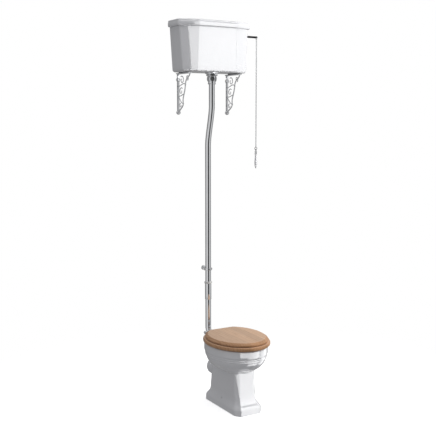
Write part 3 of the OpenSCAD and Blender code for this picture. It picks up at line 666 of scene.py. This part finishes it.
def hinges():
    for name, node, x, z, body in (("seat_straps", "seat_hinge_straps", 46, SEAT_LOW.z, "seat"),
                                   ("lid_straps", "lid_hinge_straps", 92, LID_LOW.z, "lid")):
        parts = []
        for side in (-1, 1):
            cx = side * x
            parts.append(block((cx - 8, HINGE_Y - 68, z - 2), (cx + 8, HINGE_Y - 8.4, z), 0.7))
            if body == "seat":
                parts.append(block((cx - 8, HINGE_Y - 10.4, z - 2), (cx + 8, HINGE_Y - 8.4, HINGE_Z), 0.7))
            parts.append(block((cx - 8, HINGE_Y - 10.4, HINGE_Z - 2),
                (cx + 8, HINGE_Y - 4.4, HINGE_Z + 1.5), 0.6))
            knuckle = ring_shape(ROD_R + 0.05, 9, -8, 8, 0.8, 48)
            parts.append(moved(knuckle, (cx, HINGE_Y, HINGE_Z), TO_X))
        place(build(name, joined(*parts)), CHROME, body, "chrome", node)
        down = 1.0 if body == "seat" else 0.6
        heads = [screw_head(side * x, y, z - 2, 3.5, down) for side in (-1, 1) for y in (102, 130)]
        place(build(name + "_screws", joined(*heads)), CHROME, body, "chrome",
              "seat_strap_screws" if body == "seat" else "lid_strap_screws")
    posts, nuts = [], []
    for side in (-1, 1):
        cx = side * POST_X
        post = [(4, cad("hinge_posts")[0].z), (4, RIM_Z + 2), (12.4, RIM_Z + 2), (13, RIM_Z + 2.6),
            (13, RIM_Z + 4.6), (12, RIM_Z + 5.8),
                (9.6, RIM_Z + 6.4), (8.4, RIM_Z + 8.5), (7.6, RIM_Z + 12), (7.6, RIM_Z + 17), (8,
                    RIM_Z + 20)]
        posts.append(moved(lathe(post, 48), (cx, HINGE_Y, 0)))
        posts.append(moved(ring_shape(ROD_R + 0.02, 9, -8, 8, 1.2, 48), (cx, HINGE_Y, HINGE_Z), TO_X))
        nuts.append(moved(ring_shape(4, 8.5, NUT_Z - 14, NUT_Z, 0.8, 40), (cx, HINGE_Y, 0)))
        for wing in (-1, 1):
            line = [(cx + wing * out, HINGE_Y, NUT_Z - drop) for out,
                drop in ((7.5, 6), (10.5, 9), (12.5, 12.5))]
            nuts.append(tube(line, [4.5, 4.2, 3.2], 16, flat=0.4, side=(0, 1, 0)))
    place(build("hinge_posts_turned", joined(*posts)), CHROME, ROOT, "chrome", "hinge_posts")
    place(build("wing_nuts", joined(*nuts)), PLASTIC, ROOT, "white_plastic", "hinge_wing_nuts")
    washers = [moved(ring_shape(4, 13, RIM_Z, RIM_Z + 2, 0.5, 48), (s * POST_X, HINGE_Y, 0)) for s in (-1,
        1)]
    place(build("hinge_washers_moulded", joined(*washers)), RUBBER, ROOT, "rubber", "hinge_washers")
    rod = [(3.6, -104), (4.6, -103.6), (5, -102.8), (5, 102.8), (4.6, 103.6), (3.6, 104)]
    place(build("hinge_rod_turned", moved(lathe(rod, 48), (0, HINGE_Y, HINGE_Z), TO_X)), CHROME, ROOT,
        "chrome",
          "hinge_rod")


# ---- cistern ----------------------------------------------------------------------------------

TANK_HW = TANK_HIGH.x
TANK_BACK = TANK_HIGH.y
TANK_FRONT = TANK_LOW.y
TANK_FOOT_HW = 211
FACE_HW = 130  # half width of the front face at the bottom
SIDE_Y = 206  # where the sides begin at the bottom
CHAMFER_GROW = 0.42


def rounded(points, radius, n=7):
    """A polygon with rounded corners; every ring made this way has the same number of points."""
    out = []
    for i, p in enumerate(points):
        p, before, after = Vector(p), Vector(points[i - 1]), Vector(points[(i + 1) % len(points)])
        a, b = (before - p).normalized(), (after - p).normalized()
        half = a.angle(b) / 2
        r = radius[i] if isinstance(radius, (list, tuple)) else radius
        reach = r / math.tan(half)
        centre = p + (a + b).normalized() * (r / math.sin(half))
        start, end = p + a * reach - centre, p + b * reach - centre
        sweep = start.angle_signed(end)
        for k in range(n + 1):
            turn = Matrix.Rotation(-sweep * k / n, 2)
            out.append(centre + turn @ start)
    return out


def tank_ring(g, grow, z, edge=10.0):
    """Plan of the cistern at size g (0 at the bottom, 1 at the top), moved outwards by grow."""
    w = TANK_FOOT_HW + (TANK_HW - TANK_FOOT_HW) * g + grow
    c = FACE_HW - 10 * g + grow * CHAMFER_GROW
    f = TANK_FRONT - grow
    y = SIDE_Y + 8 * g - grow * CHAMFER_GROW
    b = TANK_BACK + min(grow, 0)
    points = [(w, y), (w, b), (-w, b), (-w, y), (-c, f), (c, f)]
    corners = [edge * share for share in (1, 0.7, 0.7, 1, 1.6, 1.6)]
    return [(p.x, p.y, z) for p in rounded(points, corners)]


def size_at(z):
    """How far up the cistern z is, from 0 to 1."""
    return (z - TANK_LOW.z) / (TANK_HIGH.z - TANK_LOW.z)


def cistern():
    z0, z1 = TANK_LOW.z, TANK_HIGH.z
    rings = []
    for i in range(8):
        t = math.pi / 2 * i / 7
        z = z0 + 14 * (1 - math.cos(t))
        rings.append(tank_ring(size_at(z), -14 * (1 - math.sin(t)), z))
    rings += [tank_ring(size_at(z), 0, z) for z in (z0 + 40, z0 + 90, z0 + 140, z0 + 190, z1 - 30, z1 - 2)]
    rings += [tank_ring(1, -0.6, z1 - 0.6), tank_ring(1, -2, z1), tank_ring(1, -7, z1, 6),
        tank_ring(1, -9, z1 - 2, 5)]
    rings += [tank_ring(size_at(z), -9, z, 5) for z in (z1 - 40, z0 + 120, z0 + 30, z0 + 22)]
    rings += [tank_ring(size_at(z0 + 14), -11, z0 + 14, 5), tank_ring(0, -15, z0 + 10, 5)]
    tank = build("cistern_ceramic", skin(rings), 30)
    combine(tank, build("tail_hole", tube([(0, PIPE_Y1, z0 - 2), (0, PIPE_Y1, z0 + 30)], 24, 48)),
        "DIFFERENCE")
    combine(tank, build("valve_hole", tube([(VALVE_X, VALVE_Y, z0 - 2), (VALVE_X, VALVE_Y, z0 + 30)], 11,
        32)), "DIFFERENCE")
    slot = block((200, LEVER_Y - 7, LEVER_Z - 28), (245, LEVER_Y + 7, LEVER_Z + 10), 5, 3)
    combine(tank, build("lever_slot", slot), "DIFFERENCE")
    smooth(tank, 30)
    place(tank, GLAZE, ROOT, "glazed_ceramic", "cistern_tank")


def cover():
    z1 = TANK_HIGH.z
    top = COVER_HIGH.z
    inside = [tank_ring(1, -23, top - 12, 4), tank_ring(1, -21.5, top - 15, 4),
        tank_ring(1, -21, z1 - 6, 4),
              tank_ring(1, -20, z1 - 8, 4), tank_ring(1, -13, z1 - 8, 5), tank_ring(1, -12, z1 - 6.5, 5),
              tank_ring(1, -12, z1, 5)]
    edge = [(5.5, 0), (7.5, 0.3), (9.5, 1.6), (10.6, 3.4), (11.4, 5.6), (11.9, 8), (12, 10.5), (12, 19),
        (11.7, 21.5),
            (11, 23.6), (9.8, 25.6), (8.9, 27.0), (8.7, 28.2), (9.3, 29.0), (9.9, 30.2), (9.9, 32), (9.2,
                34),
            (7.6, 35.6), (5.2, 36.6), (2, 37)]
    grow = COVER_HIGH.x - TANK_HW
    outer = [tank_ring(1, g * grow / 12, z1 + h * (top - z1) / 37) for g, h in edge]
    place(build("cistern_cover_ceramic", skin(inside + outer), 30), GLAZE, "cistern_cover",
        "glazed_ceramic",
          "cistern_lid")


# ---- brackets ---------------------------------------------------------------------------------


def scrolls():
    """The bracket's bars as (line, radius at the start, radius at the end) in the Y-Z plane."""
    top = cad("bracket_pads")[0].z
    return [
        (bezier([(206, top - 5), (214, 1892), (255, 1905), (262, 1858)], 24), 3.6, 3.4),
        (bezier([(262, 1858), (272, 1800), (300, 1790), (290, 1752)], 24), 3.4, 3.4),
        (bezier([(290, 1752), (290, 1732), (322, 1722), (346, 1704)], 20), 3.4, 3.8),
        (spiral((305, 1886), 24, 7, 60, 420, 48), 2.7, 1.9),
        (spiral((240, 1897), 16, 5, 250, -60, 36), 2.7, 1.9),
        (bezier([(262, 1860), (285, 1872), (296, 1862), (347, 1850)], 18), 2.7, 2.5),
        (spiral((315, 1822), 22, 6, 130, -200, 40), 2.7, 1.9),
        (bezier([(274, 1806), (300, 1806), (318, 1790), (347, 1796)], 18), 2.7, 2.5),
        (bezier([(347, 1792), (330, 1776), (322, 1760), (292, 1750)], 18), 2.7, 2.5),
        (spiral((322, 1740), 14, 5, 100, -190, 32), 2.7, 1.9),
    ], top


def brackets():
    bars, top = scrolls()
    for side, node in ((-1, "bracket_left"), (1, "bracket_right")):
        x = side * BRACKET_X
        parts = []
        for line, r0, r1 in bars:
            radii = [r0 + (r1 - r0) * i / (len(line) - 1) for i in range(len(line))]
            parts.append(tube([(x, p[0], p[1]) for p in line], radii, 14))
            end = line[-1]
            parts.append(moved(ball(r1 * 1.35, 14, 8), (x, end[0], end[1])))
        parts.append(block((x - 14, 204, top - 6), (x + 14, WALL_Y, top), 1.6, 3))
        parts.append(block((x - 8, WALL_Y - 5, 1702), (x + 8, WALL_Y, top - 1), 1.5, 3))
        parts.append(block((x - 3.5, WALL_Y - 10, 1702), (x + 3.5, WALL_Y - 3, top - 2), 1.5, 3))
        for z in (1700, 1890):
            boss = [(3.2, 0), (12.5, 0), (12.5, 7), (11.6, 9.4), (9.2, 11.2), (6.4, 11.9), (4.2, 11.6),
                (3.2, 10.6)]
            parts.append(moved(lathe(boss, 48, loop=True), (x, WALL_Y, z), TO_FRONT))
        place(build(node + "_cast", joined(*parts)), CHROME, ROOT, "chrome", node)
    z0, z1 = cad("bracket_pads")[0].z, cad("bracket_pads")[1].z
    pads = [block((s * BRACKET_X - 13, 222, z0), (s * BRACKET_X + 13, 322, z1), 0.7) for s in (-1, 1)]
    place(build("bracket_pads_moulded", joined(*pads)), RUBBER, ROOT, "rubber", "bracket_pads")


def ball(r, n=24, m=12):
    return lathe([(max(r * math.sin(math.pi * i / m), 0.02),
        -r * math.cos(math.pi * i / m)) for i in range(m + 1)], n)


# ---- flush pipe -----------------------------------------------------------------------------------


def pipework():
    union = UNION_Z
    flange = cad("siphon_backnut")[1].z
    back = joined(moved(hex_shape(58, union + 3, flange - 7, 23.6), (0, PIPE_Y1, 0)),
                  moved(ring_shape(23.6, 39, flange - 7, flange, 1.6, 96), (0, PIPE_Y1, 0)))
    place(build("siphon_backnut_turned", back), CHROME, ROOT, "chrome", "siphon_backnut")
    sleeve = [(17.6, union - 44), (21.5, union - 44), (23, union - 42.6), (23, union - 39),
        (21.8, union - 37),
              (21.8, union - 32), (23, union - 30), (23, union - 27), (17.6, union - 27)]
    nut = joined(moved(hex_shape(50, union - 27, union + 3, 23.6), (0, PIPE_Y1, 0)),
                 moved(lathe(sleeve, 64, loop=True), (0, PIPE_Y1, 0)))
    place(build("flush_union_nut_turned", nut), CHROME, ROOT, "chrome", "flush_union_nut")
    middle = [(0, p[0], p[1]) for p in bezier([(PIPE_Y1, 1744), (PIPE_Y1, 1674), (PIPE_Y2, 1572),
        (PIPE_Y2, 1502)], 48)]
    upper = [(0, PIPE_Y1, union - 27), (0, PIPE_Y1, 1830), (0, PIPE_Y1, 1760)] + middle
    upper += [(0, PIPE_Y2, z) for z in (1470, 1300, 1100, 900, 760, 642)]
    place(build("flush_pipe_upper_drawn", tube(upper, PIPE_R, 64)), CHROME, ROOT, "chrome",
        "flush_pipe_upper")
    lower = [(0, PIPE_Y2, z) for z in (640, 560, 500, 445)]
    lower += [(0, y, z) for y, z in arc((PIPE_Y2 - 60, INLET_Z + 60), 60, 0, -90, 20)]
    lower += [(0, y, INLET_Z) for y in (222, 204, 184)]
    place(build("flush_pipe_lower_drawn", tube(lower, PIPE_R, 64)), CHROME, ROOT, "chrome",
        "flush_pipe_lower")
    place(build("pipe_coupling_turned", moved(ring_shape(PIPE_HOLE, 19.5, 575, 672, 0.6, 64),
        (0, PIPE_Y2, 0))), CHROME,
          ROOT, "chrome", "pipe_coupling")
    collar = [(PIPE_HOLE, 672.2), (21.8, 672.2), (23, 673.4), (23, 677), (22.2, 678), (22.2, 679),
        (23, 680), (23, 682.6),
              (21.8, 684), (PIPE_HOLE, 684)]
    place(build("pipe_collar_moulded", moved(lathe(collar, 64, loop=True), (0, PIPE_Y2, 0))), PLASTIC, ROOT,
          "white_plastic", "pipe_collar")
    clip = [moved(ring_shape(PIPE_HOLE, 21, CLIP_Z - 7, CLIP_Z + 7, 1.2, 64), (0, PIPE_Y2, 0)),
            moved(lathe([(4, 20), (4, 30), (3.4, 32), (3.4, 44), (4, 46), (4, 56)], 32),
                (0, PIPE_Y2, CLIP_Z), TO_Y),
            moved(lathe([(2.4, -26), (3.6, -25.4), (4, -24), (4, -20)], 32), (0, PIPE_Y2, CLIP_Z), TO_Y)]
    for side in (-1, 1):
        clip.append(block((side * 23 - 4, PIPE_Y2 - 3, CLIP_Z - 6),
            (side * 23 + 4, PIPE_Y2 + 3, CLIP_Z + 6), 1.2))
        clip.append(moved(lathe([(1.4, -5), (3, -4.4), (3.4, -3), (3.4, 3), (3, 4.4), (1.4, 5)], 24),
                          (side * 24, PIPE_Y2, CLIP_Z), TO_Y))
    place(build("pipe_clip_cast", joined(*clip)), CHROME, ROOT, "chrome", "pipe_clip")
    rose = [(4, -6), (8.4, -5.8), (9.4, -4.6), (10.5, -3.8), (13, -3.0), (14, -1.6), (14, 0), (4, 0)]
    place(build("clip_rosette_turned", moved(lathe(rose, 64, loop=True), (0, WALL_Y, CLIP_Z), TO_Y)),
        CHROME, ROOT,
          "chrome", "clip_rosette")
    cone = [(17.6, 184), (21.8, 184), (21.9, 211), (22.6, 212), (26.4, 212.4), (27, 213.4), (27, 219.4),
        (25.6, 223),
            (24.4, 224), (17.6, 224)]
    place(build("flush_cone_moulded", moved(lathe(cone, 64, loop=True), (0, 0, INLET_Z), TO_Y)), RUBBER,
        ROOT,
          "rubber", "flush_cone")


# ---- lever, chain and handle ------------------------------------------------------------------------


def lever():
    bar = []
    for x, half, thick in ((56, 8, 2.5), (57, 8, 2.5), (120, 8, 2.5), (130, 7, 2.5), (185, 7.5, 2.5),
        (200, 6.0, 2.5),
                           (235, 5.9, 2.5), (290, 5.8, 2.5), (301, 6.0, 2.5), (306, 6.5, 2.5), (310.5, 4.6,
                               2.4),
                           (312.3, 1.2, 2.2)):
        ring = []
        for k in range(20):
            a = 2 * math.pi * k / 20
            c, s = math.cos(a), math.sin(a)
            ring.append((x, LEVER_Y + thick * math.copysign(abs(c) ** 0.5, c),
                LEVER_Z + half * math.copysign(abs(s) ** 0.5, s)))
        bar.append(ring)
    body = build("lever_bar", skin(bar))
    combine(body, build("hub", moved(lathe([(7.4, -5), (8, -4.4), (8, 4.4), (7.4, 5)], 40),
        (PIVOT_X, LEVER_Y, LEVER_Z), TO_Y)),
            "UNION")
    for x, r in ((PIVOT_X, 3.05), (LEVER_X, 3)):
        eye = tube([(x, LEVER_Y - 8, LEVER_Z), (x, LEVER_Y + 8, LEVER_Z)], r, 32)
        combine(body, build("eye", eye), "DIFFERENCE")
    slot = block((64, LEVER_Y - 6, LEVER_Z - 4), (83, LEVER_Y + 6, LEVER_Z + 4), 1.5, 3)
    combine(body, build("lever_window", slot), "DIFFERENCE")
    smooth(body, 35)
    place(body, DARK, "lever", "dark_metal", "flush_lever")


def link(r_long, r_wide, wire, turn, centre, n=20, m=10):
    """An oval ring of wire that hangs in the X-Z plane, turned about Z."""
    straight = r_long - r_wide
    rings = []
    for i in range(n):
        a = 2 * math.pi * i / n
        up = straight if math.sin(a) > 1e-9 else (-straight if math.sin(a) < -1e-9 else 0)
        spot = Vector((r_wide * math.cos(a), 0, r_wide * math.sin(a) + up))
        out = Vector((math.cos(a), 0, math.sin(a)))
        rings.append([spot + wire * (math.cos(b) * out + math.sin(b) * Vector((0, 1, 0)))
                      for b in (2 * math.pi * k / m for k in range(m))])
    return moved(skin(rings, loop=True), centre, Matrix.Rotation(math.radians(turn), 3, "Z"))


def chain():
    hook_r, wire, pitch, reach = 7.0, 1.1, 8.7, 5.5
    place(build("chain_hook_bent", link(hook_r, hook_r, 1.4, 90, (LEVER_X, LEVER_Y, LEVER_Z - hook_r), 40,
        14)), CHROME,
          "chain", "chrome", "chain_hook")
    top = LEVER_Z - 2 * hook_r + 1.4 + wire + 0.1 - reach
    low = cad("pull_chain")[0].z + reach + wire
    count = round((top - low) / pitch) + 1
    links = [link(reach, 3.3, wire, i % 2 * 90, (LEVER_X, LEVER_Y, top - i * pitch)) for i in range(count)]
    place(build("chain_links", joined(*links)), CHROME, "chain", "chrome", "pull_chain")
    ring_low, ring_high = cad("pull_ring")
    middle = (ring_low.z + ring_high.z) / 2
    place(build("pull_ring_bent", link(8, 8, 1.5, count % 2 * 90, (LEVER_X, LEVER_Y, middle), 40, 14)),
        DARK, "chain",
          "dark_metal", "pull_ring")


def handle():
    top = cad("handle_cap")[1].z
    base = cad("pull_handle")[0].z
    eye_z = top - 5.7
    cap = build("handle_cap_turned", moved(lathe([(6.6, top - 30), (7, top - 29.4), (7, top - 27),
        (6.3, top - 25.8),
        (6.3, top - 21), (7, top - 19.8), (7, top - 16.4), (5.6, top - 14.2), (4.4, top - 12), (4.0,
            top - 9),
        (4.4, top - 4), (3.6, top - 1), (2, top)], 48), (LEVER_X, LEVER_Y, 0)))
    combine(cap, build("cap_eye", tube([(LEVER_X - 9, LEVER_Y, eye_z), (LEVER_X + 9, LEVER_Y, eye_z)], 2.8,
        24)),
            "DIFFERENCE")
    smooth(cap, 35)
    place(cap, CHROME, "handle", "chrome", "handle_cap")
    grip = [(4.6, 0), (5.2, 1), (6.2, 4.5), (7.2, 9.5), (7.8, 17), (8, 26), (7.8, 34), (7.1, 44), (6.2, 53),
        (5.4, 61),
            (5.1, 67), (5.6, 71.5), (6.6, 75), (7, 77.5), (7, 80)]
    place(build("handle_grip_glazed", moved(lathe([(r, base + z) for r, z in grip], 56),
        (LEVER_X, LEVER_Y, 0))), GLAZE,
          "handle", "glazed_ceramic", "pull_handle")
    low = cad("handle_finial")[0].z
    finial = [(0.3, 0), (1.8, 0.4), (3.3, 1.8), (4, 4), (3.3, 5.6), (3.1, 6.2), (4.6, 6.9), (5, 7.6),
        (5, 9)]
    place(build("handle_finial_turned", moved(lathe([(r, low + z) for r, z in finial], 40),
        (LEVER_X, LEVER_Y, 0))),
          CHROME, "handle", "chrome", "handle_finial")


# ---- pieces that keep their CAD shape -----------------------------------------------------------------

KEPT = {
    "siphon_body": PLASTIC, "siphon_seal": RUBBER, "siphon_piston": PLASTIC, "siphon_flap": RUBBER,
    "lift_link": CHROME, "lever_fulcrum": CHROME, "lever_pin": CHROME, "valve_body": BRASS,
    "valve_washer": RUBBER,
    "valve_backnut": BRASS, "valve_piston": PLASTIC, "float_arm": BRASS, "float_ball": PLASTIC,
}


def kept_nodes():
    """Materials for the CAD nodes that show as they are."""
    for name, material in KEPT.items():
        node = frame["nodes"][name]
        node.data.materials.clear()
        node.data.materials.append(material)


# ---- floor, light and camera ----------------------------------------------------------------------------


FLOOR_GLOW = 0.62
REFLECTION_Y = -1.25  # plane of the boxes that the glaze mirrors
FRONT_GLOW, SIDE_GLOW = 5.4, 2.6  # their power per square metre, over pi


def light(name, where, aim, size, power, mirrored=None):
    """A soft box. One with mirrored pieces shows only as a reflection in them; the others only light."""
    data = bpy.data.lights.new(name, "AREA")
    data.shape = "RECTANGLE"
    data.size, data.size_y = size
    data.energy = power
    obj = bpy.data.objects.new(name, data)
    bpy.context.scene.collection.objects.link(obj)
    obj.location = where
    obj.rotation_euler = (Vector(aim) - Vector(where)).to_track_quat("-Z", "Y").to_euler()
    obj.visible_camera = False
    obj.visible_glossy = mirrored is not None
    if mirrored:
        obj.visible_diffuse = False
        obj.light_linking.receiver_collection = mirrored


def studio():
    m = Nodes("studio_floor")
    m.link(m.ramp(m.noise(1.2, 3), (0.3, (0.90, 0.90, 0.90)), (0.7, (0.915, 0.915, 0.915))),
        m.shader.inputs["Base Color"])
    m.set(Roughness=0.9, Emission_Color=(1, 1, 1, 1), Emission_Strength=FLOOR_GLOW)
    # the floor fades out into the white surroundings with distance from the object
    away = m.add("ShaderNodeVectorMath", operation="LENGTH")
    m.link(m.place(), away.inputs[0])
    fade = m.add("ShaderNodeMapRange", interpolation_type="SMOOTHSTEP")
    fade.inputs["From Min"].default_value = 0.5
    fade.inputs["From Max"].default_value = 1.9
    m.link(away.outputs["Value"], fade.inputs["Value"])
    clear, blend = m.add("ShaderNodeBsdfTransparent"), m.add("ShaderNodeMixShader")
    m.link(fade.outputs["Result"], blend.inputs[0])
    m.link(m.shader.outputs[0], blend.inputs[1])
    m.link(clear.outputs[0], blend.inputs[2])
    m.link(blend.outputs[0], m.tree.nodes["Material Output"].inputs["Surface"])
    rings = [circle(r, 0, 64) for r in (0.5, 1.2, 2.0, 3.0)]
    verts, faces = skin(rings, (True, False))
    mesh = bpy.data.meshes.new("floor")
    mesh.from_pydata(verts, [], [tuple(reversed(f)) for f in faces])
    floor = bpy.data.objects.new("floor", mesh)
    bpy.context.scene.collection.objects.link(floor)
    floor.data.materials.append(m.material)
    floor.visible_glossy = False
    floor.visible_diffuse = False
    floor.visible_shadow = False

    world = bpy.data.worlds.new("studio")
    bpy.context.scene.world = world
    world.use_nodes = True
    tree = world.node_tree
    tree.nodes.clear()
    add, join = tree.nodes.new, tree.links.new
    out, path, where = add("ShaderNodeOutputWorld"), add("ShaderNodeLightPath"), add("ShaderNodeTexCoord")
    apart, bearing, share = add("ShaderNodeSeparateXYZ"), add("ShaderNodeMath"), add("ShaderNodeMapRange")
    join(where.outputs["Generated"], apart.inputs[0])
    back = add("ShaderNodeMath")
    back.operation = "MULTIPLY"
    back.inputs[1].default_value = -1.0
    join(apart.outputs["Y"], back.inputs[0])
    bearing.operation = "ARCTAN2"
    join(apart.outputs["X"], bearing.inputs[0])
    join(back.outputs[0], bearing.inputs[1])
    share.inputs["From Min"].default_value = -math.pi
    share.inputs["From Max"].default_value = math.pi
    join(bearing.outputs[0], share.inputs["Value"])
    # brightness round the horizon: (bearing in degrees from straight in front, brightness)
    walls = add("ShaderNodeValToRGB")
    stops = [(-180, 0.20), (-120, 0.30), (-80, 0.75), (-50, 0.65), (-38, 0.50), (-30, 0.03), (10, 0.03),
        (18, 0.70),
             (66, 0.60), (74, 0.12), (90, 0.12), (98, 0.55), (140, 0.35), (180, 0.20)]
    points = walls.color_ramp.elements
    while len(points) < len(stops):
        points.new(0.5)
    for point, (degrees, level) in zip(points, stops):
        point.position = (degrees + 180) / 360
        point.color = (level, level, level, 1)
    join(share.outputs["Result"], walls.inputs["Fac"])
    shades = [add("ShaderNodeBackground") for _ in range(3)]
    seen_walls = walls.outputs["Color"]
    # the ceiling and the floor of the room as the metal sees them
    for start, end, level in ((0.45, 0.75, 0.6), (-0.4, -0.65, 0.3)):
        height, tone = add("ShaderNodeMapRange"), add("ShaderNodeMix")
        height.inputs["From Min"].default_value = start
        height.inputs["From Max"].default_value = end
        join(apart.outputs["Z"], height.inputs["Value"])
        tone.data_type = "RGBA"
        tone.inputs[7].default_value = (level, level, level, 1)
        join(height.outputs["Result"], tone.inputs["Factor"])
        join(seen_walls, tone.inputs[6])
        seen_walls = tone.outputs[2]
    join(seen_walls, shades[0].inputs["Color"])
    sky = add("ShaderNodeMapRange")
    sky.inputs["From Min"].default_value = -1.0
    sky.inputs["To Min"].default_value = 0.25
    sky.inputs["To Max"].default_value = 0.46
    join(apart.outputs["Z"], sky.inputs["Value"])
    join(sky.outputs["Result"], shades[1].inputs["Strength"])
    shades[1].inputs["Color"].default_value = (0.97, 0.97, 1.0, 1)
    shades[2].inputs["Strength"].default_value = 1.0
    shades[2].inputs["Color"].default_value = (1, 1, 1, 1)
    soft, seen = add("ShaderNodeMixShader"), add("ShaderNodeMixShader")
    join(path.outputs["Is Glossy Ray"], soft.inputs[0])
    join(shades[1].outputs[0], soft.inputs[1])
    join(shades[0].outputs[0], soft.inputs[2])
    join(path.outputs["Is Camera Ray"], seen.inputs[0])
    join(soft.outputs[0], seen.inputs[1])
    join(shades[2].outputs[0], seen.inputs[2])
    join(seen.outputs[0], out.inputs["Surface"])

    light("key", (4.1, -1.7, 2.1), (0, 0, 1.1), (1.6, 3.2), 135)
    light("top", (0.2, -0.8, 5.0), (0, 0, 1.0), (3.0, 3.0), 55)
    glazed = bpy.data.collections.new("glazed")
    for obj in bpy.context.scene.objects:
        if obj.type == "MESH" and GLAZE in list(obj.data.materials):
            glazed.objects.link(obj)
    # soft boxes that show as sharp-edged reflections in the glaze: (name, left, right, low, high)
    for name, left, right, low, high in (("low_box", -0.10, 1.45, -1.4, -0.10),
        ("mid_box", -1.0, 1.45, -0.10, 0.9),
                                         ("high_box", -0.52, 1.45, 0.9, 3.0)):
        across, tall = right - left, high - low
        where = Vector(((left + right) / 2, REFLECTION_Y, (low + high) / 2))
        light(name, where, where + Vector((0, 1, 0)), (across, tall), FRONT_GLOW * math.pi * across * tall,
            glazed)
    where = Vector((2.2, -0.45, 1.0))
    size = (1.9, 5.0)
    light("side_box", where, where - Vector((1, 0, 0)), size, SIDE_GLOW * math.pi * size[0] * size[1],
        glazed)


def camera():
    data = bpy.data.cameras.new("camera")
    data.lens = 65.8
    data.sensor_width = 36
    obj = bpy.data.objects.new("camera", data)
    bpy.context.scene.collection.objects.link(obj)
    obj.location = (-2.329, -3.860, 1.639)
    obj.rotation_euler = (math.radians(83.2), 0, math.radians(-30))
    bpy.context.scene.camera = obj
    bpy.context.scene.view_settings.view_transform = "Standard"


pan()
seat()
lid()
hinges()
cistern()
cover()
brackets()
pipework()
lever()
chain()
handle()
kept_nodes()
studio()
camera()
